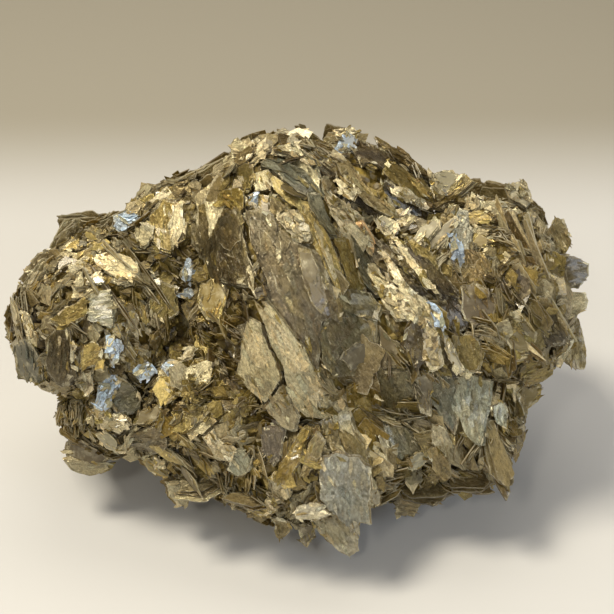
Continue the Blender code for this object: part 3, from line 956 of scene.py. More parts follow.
        ("cream_leaf_long", ((23, 37), (28, 36), (33.5, 32), (32, 31.6), (27, 34), (24, 35.2)),
         (-0.1, -0.3), 4.0, 1.0, 3, CREAM, -28, 0.3),
        ("olive_glow", ((27, 39), (31, 38.5), (34, 36), (33, 34), (29, 35.5)),
         (0.1, 0.2), 2.9, 0.8, 2, GOLD, -45, 0.8),
        ("cream_knob_left", ((19, 29.5), (23, 29), (25.5, 27), (24, 24.5), (21, 25.5)),
         (-0.2, 0.2), 2.2, 2.0, 5, PEARL, 30, 0.2),
        ("cream_knob_right", ((24.5, 31), (28, 30.5), (29.5, 28.5), (27.5, 26.5), (25, 28.5)),
         (-0.2, 0.2), 2.4, 2.0, 5, CREAM, 30, 0.2),
        # painted sky reflection: pale blue chips for a glint of the sky
        ("sky_glint_top", ((10, 46), (12.5, 49.5), (16, 50), (15, 47.5), (15.8, 44), (14, 45.8),
                           (11, 45)), SKYWARD, 3.0, 0.8, 2, SKY_GLINT, -60, 0.7),
        ("cream_top_right", ((10, 50.5), (14, 51.5), (16, 50.3), (12.5, 48.5), (10.5, 48)),
         (-0.1, 0.7), 1.5, 1.0, 3, CREAM, 0, 0.3),
        ("pale_rim", ((34, 40), (38, 41), (42, 39.6), (39.3, 35.5), (37, 34.8), (35, 37)),
         (0.1, 0.15), 1.8, 1.2, 2, PEARL, -30, 0.6),
        ("fan_long", ((31, 29), (34, 32.5), (39, 36.5), (42, 40), (44.3, 38), (40, 34),
                      (36, 30), (33, 28)), (-0.25, 0.3), 2.0, 1.6, 4, TAN, 46, 0.4),
        ("fan_pale", ((29.3, 23), (31.5, 27), (35, 29.3), (35.5, 27), (33, 23), (30.5, 21.3)),
         (-0.3, 0.1), 2.6, 1.8, 4, PEARL, 50, 0.3),
        ("fan_tan", ((34, 20.3), (35.5, 25), (39.5, 30), (40.3, 28), (38, 23), (36, 19.5)),
         (-0.3, 0.05), 3.0, 1.6, 4, SILVER, 62, 0.3),
        ("glint_blade", ((39, 25), (40.5, 30.7), (42.5, 30), (43.7, 25), (43, 21), (40, 17),
                         (38.5, 18.5), (39, 22)), (-0.1, -0.05), 4.2, 1.4, 3, PEWTER, 78, 0.5),
        # painted sky reflection: the blade's glint is a pale blue chip laid on it
        ("glint_chip", ((39, 25), (40.8, 24), (42, 20.5), (40, 17.3), (38.6, 18.6), (39, 22)),
         SKYWARD, 6.0, 0.5, 1, SKY_GLINT, 78, 0.6),
    ),
    "right_sheets": (
        ("olive_cap", ((43, 30), (46, 31), (50, 29), (48, 27), (44, 27.4)), (0.0, 0.2), 2.0,
         1.6, 3, GOLD, -10, 0.6),
        ("gold_recess", ((44, 22), (46, 25), (49.6, 23.5), (48, 21.3)), (0.0, 0.0), 0.8, 1.0,
         2, GOLD, -10, 0.9),
        ("cream_shoulder", ((52.5, 36.5), (57, 38), (59, 34.5), (57.5, 31), (54, 33)),
         (0.2, 0.3), 1.6, 2.0, 5, CREAM, -45, 0.3),
        ("rim_upper", ((63, 25.6), (65.4, 28.6), (67.4, 27), (68.6, 23.2), (66.6, 20), (64, 21)),
         (0.4, 0.1), 2.0, 1.4, 3, TAN, -60, 0.5),
        ("rim_brown", ((62.6, 15.8), (65.6, 19), (68.6, 19.4), (72.8, 17.2), (72.6, 14.4),
                       (70.2, 11.4), (66, 11), (63.4, 12.6)), (0.2, 0.05), 3.8, 1.8, 4, EARTH,
         -15, 0.95),
        ("rim_pale", ((63, 9), (66, 10), (72.3, 10), (72.3, 6), (69, 3.3), (65, 5)),
         (0.2, 0.0), 2.0, 1.0, 2, PEARL, -4, 0.4),
        ("right_ball", ((60.8, 3), (63.5, 5.6), (67, 4.5), (69, 0.5), (66.5, -2.5), (62.5, -3),
                        (60.3, 0)), (0.1, 0.0), 4.6, 2.6, 5, UMBER, -30, 0.8),
        ("rim_lower", ((68, 4), (70.5, 2.5), (72, -4.5), (71.5, -8.6), (68.5, -8.2),
                       (66.3, -6.5), (67.5, -1)), (0.3, -0.1), 2.0, 1.8, 4, TAN, -80, 0.4),
        # painted highlight: a cream sliver for a glint on the rim
        ("cream_wedge", ((63, -5), (66, -3.6), (68.7, -1.3), (66.7, -5), (64.7, -8.2),
                         (63.3, -7.6)), (0.0, 0.0), 5.2, 0.8, 2, CREAM, 60, 0.3),
        ("olive_block", ((52.6, 2), (57, 4.3), (60.3, 0), (59, -4.3), (55, -5.3), (52.3, -2)),
         (0.05, -0.05), 2.2, 2.4, 5, OLIVE, -45, 0.7),
        # painted highlight: a cream chip for a small glint
        ("bright_chip", ((53.3, 5), (55.3, 5.5), (56.9, 3.6), (55, 2.9)), (-0.1, 0.2), 4.0,
         0.6, 1, CREAM, -30, 0.2),
        ("brown_plate", ((39.6, 19), (43, 21.3), (47.3, 20), (48.3, 15), (46, 10.7), (41.6, 12)),
         (0.0, 0.05), 1.8, 2.0, 4, BROWN, -60, 0.7),
        ("dusky_plate", ((41, 12), (46, 12.5), (50, 8), (49, 3), (44, 2), (41, 6)),
         (0.05, -0.05), 1.2, 2.4, 5, BROWN, -64, 0.7),
        ("olive_plate_low", ((38, -1), (43.5, 0.5), (46, -3), (45.5, -9), (42, -10), (40, -6)),
         (0.0, -0.1), 2.0, 2.0, 4, OLIVE, -70, 0.7),
        ("gold_line", ((40.5, -7), (43, -8.6), (45.3, -9.6), (42.5, -10.3)), (0, -0.2), 3.2, 0.8,
         2, CREAM, -30, 0.3),
        ("pale_line", ((52.5, -6), (56, -4.8), (60, -5.2), (56, -6.6)), (0.0, -0.4), 3.4, 1.4,
         3, PEARL, 5, 0.3),
        ("olive_foot", ((54, -6.5), (60, -5.5), (65, -7), (65, -11), (60, -13.5), (55, -11)),
         (0.15, -0.25), 2.4, 2.2, 4, OLIVE, 10, 0.6),
        ("gold_block", ((52.3, -12), (56, -11), (60.3, -13), (59.6, -17), (57, -18.5), (53, -17),
                        (51.3, -15)), (0.1, -0.2), 3.4, 2.6, 5, HONEY, 20, 0.8),
        # painted highlight: a cream chip for a glint on the gold block
        ("gold_glint", ((52.4, -13.5), (54, -12.4), (55.6, -14), (54, -16.3)), (-0.2, 0.1), 5.2,
         0.5, 1, CREAM, 60, 0.3),
        ("silvery_oval", ((49, -18), (51, -16.6), (52.5, -19), (52, -23.6), (49.7, -22)),
         (0.0, -0.1), 3.4, 1.4, 3, STEEL, -75, 0.5),
        ("small_fan", ((51, -24), (53, -23.4), (56.6, -23), (57.3, -27), (55.5, -31.3),
                       (54, -29.5), (51, -27.5)), (0.15, -0.2), 3.2, 1.8, 4, TAN, -70, 0.5),
        ("ragged_foot", ((46, -30), (50, -29.5), (52.9, -35), (50, -38.3), (46, -39.3),
                         (43, -37), (43.6, -32)), (0.1, -0.3), 3.6, 2.4, 5, TAN, -60, 0.4),
        ("fan_right", ((40, -10.3), (44, -10.3), (48.6, -12), (48.2, -17), (46.7, -22),
                       (46.5, -27.2), (44, -27.2), (41.8, -24.4), (40.8, -21), (38.2, -17.6),
                       (39.7, -13.6)), (-0.05, -0.10), 3.0,
         1.6, 3, STEEL, -82, 0.4),
        ("fan_left", ((34.8, -9.4), (37.6, -9), (40.3, -12), (40.3, -20), (39, -24.3),
                      (36.8, -21.4), (34.9, -18), (32.8, -15.4), (33.9, -12.4)),
         (0.05, -0.08), 2.2, 1.6, 3, SLATE, -70, 0.5),
        ("fan_dark", ((30, -8.6), (33, -9), (34, -14), (33.5, -20), (31, -19), (29.6, -13)),
         (0.2, -0.05), 1.6, 1.2, 2, DUSK, -82, 0.5),
    ),
    "low_sheets": (
        ("bottom_blade", ((5.6, -34.8), (6.2, -30.3), (9.8, -29.2), (15.4, -30.3), (18.1, -33),
                          (18.7, -38.2), (18, -42.6), (18.4, -47.4), (15.6, -46.9),
                          (14.5, -50), (12.2, -48), (9, -44.2), (5.8, -40.6)), (0.0, -0.05),
         6.6, 1.0, 3, PEWTER, -78, 0.95),
        ("blade_right_edge", ((17, -34), (19.5, -37), (20.8, -42), (19.5, -43.6), (18.4, -41)),
         (0.1, -0.1), 5.0, 0.8, 2, PEARL, -80, 0.4),
        ("rounded_blade", ((4.6, -42.5), (9, -41.5), (13.2, -46), (14.4, -49.6), (14.4, -52.8),
                           (12.2, -54), (9.8, -53), (6.4, -49.4), (3.4, -46.4)), (0.0, -0.1),
         14.5, 1.0, 2, SILVER, -60, 0.95),
        ("small_blade_right", ((0, -45.5), (4.2, -46), (4.2, -50), (2.2, -52.4), (0.8, -51)),
         (0.0, -0.1), 15.5, 1.0, 2, DUSK, -80, 0.5),
        ("small_blade_left", ((-6, -43.5), (-2, -44.5), (-2, -48), (-3.6, -50.4), (-5.2, -47.5)),
         (0.0, -0.1), 15.0, 1.0, 2, TAN, -75, 0.5),
        # painted highlight: a polished cream flake for a glint at the foot
        ("gold_flake", ((-1, -43.8), (0.6, -42.2), (3.6, -41.7), (6.4, -42.4), (8, -44.2),
                        (5, -45.6), (0, -45.4)), (-0.05, 0.15), 7.4, 0.8, 3, CREAM, 5, 0.95),
        ("honey_block", ((-6.3, -36), (-2, -37.8), (1, -31), (3.3, -24), (1, -22.7),
                         (-1, -27), (-4, -32)), (-0.1, -0.15), 2.4, 2.2, 5, HONEY, 62, 0.9),
        ("tan_block", ((0, -35), (2, -35.3), (7, -27), (5.2, -23.7), (3, -27)),
         (0.25, -0.1), 2.2, 1.8, 4, TAN, 60, 0.5),
        ("plum_leaf", ((-9.3, -23), (-5, -21.3), (-3, -24), (-4, -30), (-6, -32), (-8.3, -28)),
         (0.05, -0.1), 2.2, 1.4, 3, PLUM, -75, 0.4),
        ("grey_diamond", ((-16.3, -29), (-13, -27.7), (-10.8, -33), (-14, -35.3),
                          (-16.7, -33)), (-0.05, -0.2), 3.2, 1.2, 3, STEEL, -60, 0.5),
        ("gold_bright", ((-23, -25), (-21, -23.7), (-18, -27), (-14.5, -29), (-16, -30.8),
                         (-20, -30.3)), (-0.1, -0.1), 3.2, 1.4, 4, CREAM, -38, 0.4),
        ("greenish", ((21.3, -22), (25, -21.7), (29, -26), (31.3, -30), (28.3, -35.3),
                      (25, -33), (22.6, -28)), (0.1, -0.2), 2.4, 1.6, 3, SLATE, -60, 0.4),
        ("greenish_glint", ((28, -31), (31, -29), (32.8, -29.6), (31, -33), (28.5, -34)),
         (0.0, -0.1), 4.2, 0.8, 2, STEEL, 40, 0.6),
        ("brown_leaf", ((32.3, -28.8), (35, -27.2), (37.7, -31), (38.7, -36), (36, -36.3),
                        (33.8, -32)), (0.1, -0.2), 4.0, 1.2, 3, TAN, -68, 0.4),
        ("tan_leaf", ((28.8, -39), (30, -35), (34, -31), (36, -34), (34, -38), (31, -40.3)),
         (0.0, -0.35), 4.4, 1.4, 3, TAN, 50, 0.5),
        ("lilac_leaf", ((33.8, -22.6), (37, -23.6), (38.7, -28), (37, -30), (33.8, -27)),
         (0.05, -0.1), 3.0, 1.2, 3, SILVER, -60, 0.5),
        ("brown_gap", ((20.5, -23), (22.5, -27), (26, -35), (24, -38), (21, -33), (19.8, -27)),
         (0.2, -0.1), 0.4, 1.6, 3, UMBER, -72, 0.6),
        ("right_toe", ((22, -39), (27, -38.5), (31, -41), (29, -45), (25, -44.5)),
         (0.05, -0.4), 6.0, 2.0, 5, DUSK, -10, 0.5),
        ("bright_toe", ((32.5, -41), (35.5, -38.6), (38, -39.3), (35, -41.6)), (-0.1, -0.1), 7.0,
         0.9, 2, CREAM, 15, 0.3),
        ("gold_toe_left", ((-12, -41.5), (-8, -41), (-6.5, -43.5), (-9, -45.5), (-12, -44)),
         (-0.1, -0.3), 6.0, 1.2, 3, GOLD, -15, 0.5),
        ("cream_toe", ((-7.5, -40.6), (-5.4, -40.8), (-5, -43.5), (-6.6, -44.6)),
         (-0.1, -0.2), 7.0, 0.8, 2, CREAM, -75, 0.4),
    ),
    "left_sheets": (
        ("fibrous_leaf", ((-50.5, 19.6), (-46, 21), (-41, 19.6), (-38.8, 16), (-40, 12.7),
                          (-43, 14.3), (-47, 16.2)), (-0.05, 0.1), 2.6, 2.0, 5, FROST, -18,
         0.1),
        ("cream_pebble", ((-52, 14.6), (-49, 15.3), (-46.3, 14), (-49, 12.8), (-51.6, 13.2)),
         (-0.1, 0.2), 4.2, 1.2, 3, CREAM, -8, 0.2),
        ("ribbed_block", ((-50.7, 10), (-46, 11), (-45.3, 5), (-45.6, 1.8), (-48.5, 3),
                          (-51.3, 4)), (-0.1, 0.0), 4.0, 2.0, 4, STEEL, 5, 0.4),
        ("olive_plate", ((-61.5, 4), (-57, 7), (-52, 10), (-51, 6), (-54, 4), (-58, 2.3)),
         (-0.2, 0.1), 2.6, 1.8, 4, OLIVE, 22, 0.7),
        ("pale_leaf", ((-39.6, 26), (-37.5, 28.2), (-34.8, 27), (-36, 24), (-37, 21.8),
                       (-39.2, 24)), (0.05, 0.0), 3.2, 1.4, 3, SILVER, -40, 0.3),
        # painted sky reflection: a pale blue patch for a glint of the sky
        ("frost_patch", ((-45, 27), (-44.6, 30), (-41, 31.6), (-38.8, 29), (-41, 27.3),
                         (-43, 25.8)), (0.33, 0.12), 4.6, 1.0, 3, SKY_GLINT, 20, 0.5),
        ("tall_olive", ((-36.3, 30), (-33, 34), (-29.5, 33), (-29, 26), (-30.5, 20.3),
                        (-34, 22.3), (-36.3, 26)), (-0.2, 0.25), 1.8, 2.0, 4, OLIVE, -80, 0.7),
        ("bright_edge", ((-29.6, 33.5), (-28, 33.5), (-28.6, 23), (-30, 21.8)), (-0.3, 0.2),
         3.4, 1.0, 2, PEARL, -88, 0.4),
        ("big_leaf", ((-36.4, 8), (-33, 13), (-30, 12), (-28.8, 6), (-32, 3.3), (-35, 4.3)),
         (-0.1, 0.1), 2.6, 1.4, 3, OLIVE, 60, 0.6),
        ("cave_olive", ((-23, 13), (-19, 14.3), (-16.5, 9), (-18, 4), (-22, 5), (-24.3, 9)),
         (-0.15, 0.1), 2.0, 1.6, 3, GOLD, 70, 0.7),
        ("left_edge_disc", ((-70.7, -2), (-66, 0), (-62.3, -4), (-61.3, -9), (-64, -12),
                            (-70, -10.5)), (-0.2, -0.05), 4.0, 1.6, 3, SLATE, 75, 0.5),
        ("left_disc", ((-61.8, -1), (-58, 2), (-55.3, 1.6), (-54.8, -5), (-54.3, -10),
                       (-58, -12.8), (-61, -11), (-62.3, -6)), (-0.1, -0.05), 5.4, 2.2, 4, PEAT,
         85, 0.6),
        ("cream_edge_left", ((-67.8, 6), (-66, 5), (-62.8, -1), (-65, -1.8), (-67.2, 2)),
         (-0.3, 0.1), 4.2, 1.0, 3, CREAM, -60, 0.3),
        ("plum_tip", ((-70.8, 5), (-68, 7.5), (-66.5, 4), (-68, 1), (-70.8, 1.5)),
         (-0.3, 0.1), 2.4, 1.2, 3, PLUM, 60, 0.5),
        ("olive_tongue", ((-53.3, -4), (-50, -1.3), (-47.8, -4), (-48, -6.7), (-50.5, -7.2),
                          (-53.2, -8.7)), (-0.1, 0.1), 3.4, 1.4, 3, GOLD, 35, 0.6),
        ("gold_edge", ((-50.3, -7.5), (-50.2, -12), (-52, -15.3), (-54.3, -11), (-52, -9)),
         (-0.2, 0.0), 4.0, 1.0, 3, CREAM, 65, 0.4),
        ("thin_white_edge", ((-55.3, -1.5), (-54.6, -2), (-54.3, -8.5), (-55.1, -8)),
         (-0.2, 0.0), 6.2, 0.8, 2, CREAM, -88, 0.3),
        ("slate_sheet", ((-45.2, -12), (-42, -10.3), (-38.8, -14), (-38.3, -18), (-42, -19.7),
                         (-45.2, -18)), (-0.05, -0.1), 3.0, 1.4, 3, SLATE, 20, 0.6),
        ("banded_block", ((-52.3, -17.8), (-48, -18.2), (-43, -19.7), (-40.8, -22),
                          (-44, -24.2), (-48, -22.6)), (-0.15, -0.1), 4.2, 2.2, 6, CREAM, -30,
         0.3),
        ("pale_knob", ((-49.8, -24), (-46, -23.3), (-44, -26), (-45, -29.3), (-47.5, -28.2)),
         (-0.1, -0.2), 4.0, 2.0, 5, PEARL, -45, 0.3),
        ("grey_sheet", ((-44.8, -29), (-41, -25), (-37, -22.3), (-33, -21.8), (-30.8, -25),
                        (-34, -28.3), (-39, -30.6)), (-0.05, -0.25), 3.8, 1.8, 4, DUSK, 22,
         0.5),
        ("grey_sheet_edge", ((-45, -28.7), (-41.5, -24.6), (-38.5, -22.6), (-40.3, -26),
                             (-43, -29.2)), (-0.3, -0.1), 5.2, 0.8, 2, PEARL, 45, 0.3),
        ("bow", ((-39, -19), (-35, -18), (-33, -16.3), (-33.8, -19.7), (-37, -21.7),
                 (-40, -22)), (0.0, -0.1), 3.2, 1.4, 4, TAN, 32, 0.4),
        ("lower_left_knob", ((-57.3, -29), (-54, -24), (-50, -26), (-46, -29.7), (-49, -32.6),
                             (-55, -32)), (-0.1, -0.3), 4.6, 2.6, 6, BROWN, -8, 0.5),
        ("knob_rim", ((-57.3, -30.6), (-50, -30.8), (-44.5, -30.2), (-47, -33.2), (-53, -33.6)),
         (-0.05, -0.5), 5.6, 1.0, 3, SILVER, 2, 0.5),
        ("gold_glitter", ((-38.3, -31), (-35, -29.6), (-30.7, -32.5), (-32.5, -34.8),
                          (-36, -33.6)), (-0.1, -0.1), 5.2, 1.4, 4, GOLD, -18, 0.6),
        ("gold_glitter_chip", ((-34.8, -30.2), (-32.8, -31), (-32.8, -32.8), (-34.6, -32)),
         (-0.1, 0.1), 6.2, 0.5, 1, CREAM, -60, 0.3),
        ("tongue", ((-32.4, -35.5), (-29.5, -35.5), (-27, -39.5), (-27, -42), (-29, -42),
                    (-31.5, -39.5)), (0.0, -0.1), 12.5, 1.2, 2, PEARL, -65, 0.4),
        # painted sky reflection: the chips below, down to the ridge, are tinted pale blue as
        # glints of the sky
        ("sky_strip", ((-46.6, -1), (-43.4, -1), (-43.4, -4), (-45, -7.7), (-46.2, -5)),
         SKYWARD, 4.2, 0.6, 2, SKY_GLINT, 80, 0.6),
        ("sky_patch", ((-48.4, -13), (-46.4, -9.4), (-43.8, -11), (-45.4, -14.6), (-46.6, -18),
                       (-49, -17.4)), SKYWARD, 5.0, 0.8, 2, SKY_GLINT, 60, 0.6),
        ("sky_chip_1", ((-39.7, -8), (-37, -6.3), (-35.3, -8), (-36.5, -10.5), (-38.5, -10.7)),
         SKYWARD, 4.2, 0.6, 2, SKY_GLINT, 30, 0.6),
        ("sky_chip_2", ((-33.2, -7.7), (-31, -5.8), (-29.8, -7), (-32, -8.9)), SKYWARD, 4.2,
         0.6, 2, SKY_GLINT, 30, 0.6),
        ("sky_cave_1", ((-28.2, 15.5), (-26.5, 18.2), (-24.1, 17), (-25, 14.3), (-26.7, 13.3)),
         SKYWARD, 3.0, 0.6, 2, SKY_GLINT, 60, 0.6),
        ("sky_cave_2", ((-28.2, 10), (-26.5, 11.9), (-25.3, 10.5), (-26.3, 9.1)), SKYWARD,
         3.2, 0.6, 2, SKY_GLINT, 60, 0.6),
        ("sky_ridge", ((-11.1, 33), (-10, 35.7), (-9.1, 35.3), (-9.7, 31.3)), SKYWARD, 3.6,
         0.6, 1, SKY_GLINT, 80, 0.6),
        # painted highlight: a cream chip for a small glint
        ("gold_chip", ((-29.6, -7), (-27, -3), (-24.7, -3), (-26.5, -6.2)), (-0.1, 0.1), 3.6,
         0.7, 2, CREAM, 40, 0.3),
    ),
}

# Thin layers left on a drawn sheet: its name, the layer's outline, tint and polish
LAYERS = (
    ("main", ((-11, 27), (-8, 26.6), (-6.4, 18), (-4.4, 11), (0, 6), (4, 2.4), (5.2, -4),
              (3.4, -3), (0.2, 1.2), (-4.9, 7.6), (-6.9, 10.2), (-7.1, 14.2), (-9.5, 20.2)),
     OLIVE, 0.15),
    ("main", ((0.6, 22), (3.8, 21.4), (7, 14), (8.4, 8), (6.6, 5), (4, 8), (2, 13)), TAN, 0.15),
    ("main", ((-9.6, 27.4), (-5.4, 27), (-1, 23.4), (-2.4, 20), (-6, 23.4)), DUSK, 0.1),
    ("upper_left", ((-21, 33), (-15, 31.6), (-13, 28), (-12.4, 23), (-15, 20), (-19, 23),
                    (-22, 28)), EARTH, 0.3),
    ("upper_left", ((-27.6, 29), (-23, 31), (-21.6, 26), (-24, 21.4), (-27.4, 24.4)), EARTH,
     0.3),
    ("pale_left", ((-10.8, 0.6), (-8.4, 2), (-7.4, -2), (-5.8, -6), (-8, -9), (-11, -6.4),
                   (-12.6, -3)), PEARL, 0.4),
    ("pale_left", ((-13.6, -9.6), (-9, -10.6), (-5.6, -12), (-8.2, -16), (-12.4, -12.8)),
     SILVER, 0.5),
    ("pale_middle", ((-6.4, 5), (-3.8, 3.2), (-0.4, -2.2), (1.8, -8), (0.6, -12), (-1, -9.4),
                     (-3.8, -3.4), (-6.6, 1)), PEARL, 0.3),
    ("pale_middle", ((1.4, -9), (4, -9.4), (7, -13.8), (10.6, -18), (8, -20.6), (3, -16)),
     SILVER, 0.3),
    ("centre_lower", ((7, 3), (11.4, 5.2), (16, 4), (13, -1), (9, -4.4)), DUSK, 0.4),
    ("centre_lower", ((10, -5), (15, -2), (19, -1), (19.6, -7.6), (14, -9.6)), DUSK, 0.4),
    ("centre_dark", ((20.6, 2.6), (24.6, -2.4), (26.2, -7.8), (21, -8.4)), DUSK, 0.4),
    ("olive_strip", ((4.6, 28.6), (6.6, 26), (9, 19.6), (10.8, 13.6), (9.6, 13), (7.4, 18.6),
                     (4.8, 24.6)), PEARL, 0.4),
    ("dark_top", ((-8.4, 44.4), (-7.6, 46), (-5, 43.8), (-3, 40.4), (-5, 40.8), (-7, 42.6)),
     STEEL, 0.6),
)

# Dark cracks that run over a drawn sheet: its name, the width of the crack, then where it goes
SEAMS = (
    ("main", 0.6, ((-12.2, 34), (-11.3, 30.5), (-11.2, 27), (-10, 21), (-8.2, 16.6),
                   (-7.3, 13.6), (-7.1, 10.2), (-5.1, 7.2), (-2.6, 4.2), (-0.1, 0.9), (2, -1.7),
                   (3.2, -3.6), (4.2, -6.4), (5.2, -9), (7.4, -13), (9.4, -16.4))),
    ("main", 0.35, ((9.3, 5.2), (7.6, 3.6), (6.4, 3.4), (5.8, 1.4), (5.6, -1.4), (6, -4.4))),
    ("pale_left", 0.8, ((-7.7, 3.2), (-6.7, -1), (-5.6, -3.6), (-4.4, -6), (-3.7, -9),
                        (-3.4, -12), (-2.6, -14.8))),
)

# Where only a few loose flakes lie over the drawn sheets: middle, half sizes and heading
CLEAR = (
    ((0, 16), (30, 10.5), -64),
    ((-17, 25), (15, 9), -72),
    ((14, -5), (15, 9), -58),
    ((-4, -8), (16, 8), -64),
    ((11, 30), (20, 5.5), -57),
    ((25, 9), (20, 7.5), -58),
    ((24, 37), (17, 7), -48),
    ((15, -22), (9, 6), -60),
    ((12.5, -39), (9, 6), -80),
    ((41, -18), (9, 6.5), -78),
    ((29, 16), (14, 6.5), -55),
    ((0, -17), (8, 6), -50),
    ((-66, -6), (5, 7), 0),
    ((-58, -5.5), (8, 4.5), -85),
)


def make_patterns(rng):
    """Flakes are small shards, plates a little larger, and sheets big enough to bend."""
    flakes = [Pattern(shard_outline(rng), rng.choice((5, 6, 7)), 0, 0.10, rng) for _ in range(24)]
    plates = [Pattern(cleaved_outline(rng), 13, 0, 0.16, rng) for _ in range(16)]
    sheets = [Pattern(cleaved_outline(rng), 36, 2, 0.10, rng) for _ in range(14)]
    return flakes, plates, sheets


def lay_book(sheets, patterns, row, rng):
    """A book is a stack of sheets, each cleaved a little short of the one under it."""
    _, u, v, length, width, thickness, heading, lean, dip, rise, tint, layers, bend = row
    turn = turn_matrix(heading, lean, dip)
    middle = np.array((u, v, skin(u, v) + rise), float)
    step = thickness / layers
    stair = (rng.uniform(-0.08, 0.08), rng.uniform(-0.12, 0.12))
    for layer in range(layers):
        share = layer / max(layers - 1, 1)
        reach = 1.06 - 0.20 * share * rng.uniform(0.4, 1.4)
        slide = np.array((
            (rng.uniform(-0.04, 0.04) + stair[0] * share) * length,
            (rng.uniform(-0.05, 0.05) + stair[1] * share) * width,
            (share - 0.5) * (thickness - step)))
        size = (length / 2 * reach, width / 2 * reach * rng.uniform(0.85, 1.08), step * 0.55)
        fan = turn_matrix(rng.uniform(-5, 5), rng.uniform(-1.6, 1.6), rng.uniform(-1.2, 1.2))
        pattern = rng.choice(patterns)
        lift = bend * pattern.co[:, 0] ** 2 + waves(pattern, length, rng)
        shade = tint if layer % 3 else rng.choice((tint, BROWN, PEARL))
        sheets.add(
            pattern, middle + turn @ slide, turn @ fan, size, vary(shade, rng, 0.14), rng,
            lift=lift, crackle=float(rng.random() < 0.25))


def lay_broken_book(sheets, patterns, row, rng):
    """A long book broken across into a few that lie a little askew."""
    name, u, v, length, width, thickness, heading, lean, dip, rise, tint, layers, bend = row
    parts = max(1, round(length / BROKEN_LENGTH))
    along = turn_matrix(heading, 0, dip)[:, 0]
    for part in range(parts):
        shift = (part - (parts - 1) / 2) / parts * length + rng.uniform(-1, 1)
        place = np.array((u, v)) + along[:2] * shift
        aslant = rng.uniform(-0.22, 0.22) * width
        place += np.array((-along[1], along[0])) * aslant
        lift = along[2] * shift - skin(*place) + skin(u, v)
        lay_book(sheets, patterns, (
            name, place[0], place[1], length / parts * rng.uniform(1.15, 1.6),
            width * rng.uniform(0.75, 1.05), thickness * rng.uniform(0.6, 1.0),
            heading + rng.uniform(-10, 10), lean * rng.uniform(0.55, 1.1),
            dip + rng.uniform(-7, 7), rise + lift * 0.5 + rng.uniform(-1.0, 0.5), tint,
            max(2, round(layers * rng.uniform(0.45, 0.8))), bend * 0.4), rng)


def waves(pattern, length, rng):
    """The slight roll of a large sheet."""
    height = min(length * 0.012, 0.3)
    first = np.sin(pattern.co[:, 0] * rng.uniform(1.5, 4) + rng.uniform(0, 6))
    second = np.cos(pattern.co[:, 1] * rng.uniform(1.5, 4) + rng.uniform(0, 6))
    return height * first * second


# Drawn sheets wider than LARGE_SPAN are cut finer: corners, rings and how ragged.  Those
# narrower than CHIPPED_SPAN have notched sides.
LARGE_SPAN = 14
LARGE_CUT = (52, 2, 0.06)
SMALL_CUT = (30, 1, 0.10)
CHIPPED_SPAN = 16
# How far a sheet bends to lie along the skin, for free and flush stacks, small ones first
DRAPES = ((0.35, 0.75), (0.7, 1.0))
STIFF_DRAPE = 0.12
# The layers on a drawn sheet are cut like this, and lie this far above it
LAYER_CUT = (30, 1, 0.14)
LAYER_GAP = 0.05
LAYER_THICKNESS = 0.2
SEAM_GAP = 0.45
SEAM_THICKNESS = 0.12


def brought_forward(corners, rise):
    """Outlines are drawn as they look from the front; nearer the eye a sheet is drawn smaller."""
    corners = [Vector(corner) for corner in corners]
    middle = sum(corners, Vector((0, 0))) / len(corners)
    for _ in range(2):
        depth = skin(*middle) + rise * RISE_SHARE
        scale = 1 - depth / VIEW_DISTANCE
        outline = [corner * scale for corner in corners]
        middle = sum(outline, Vector((0, 0))) / len(outline)
    return outline, middle, scale


def chipped(outline, rng):
    """The outline of a small sheet with a break or a notch along each side."""
    corners = []
    for first, second in zip(outline, outline[1:] + outline[:1]):
        along = second - first
        out = Vector((along.y, -along.x)) * rng.uniform(-0.14, 0.10)
        corners += [first, first + along * rng.uniform(0.3, 0.7) + out]
    return corners


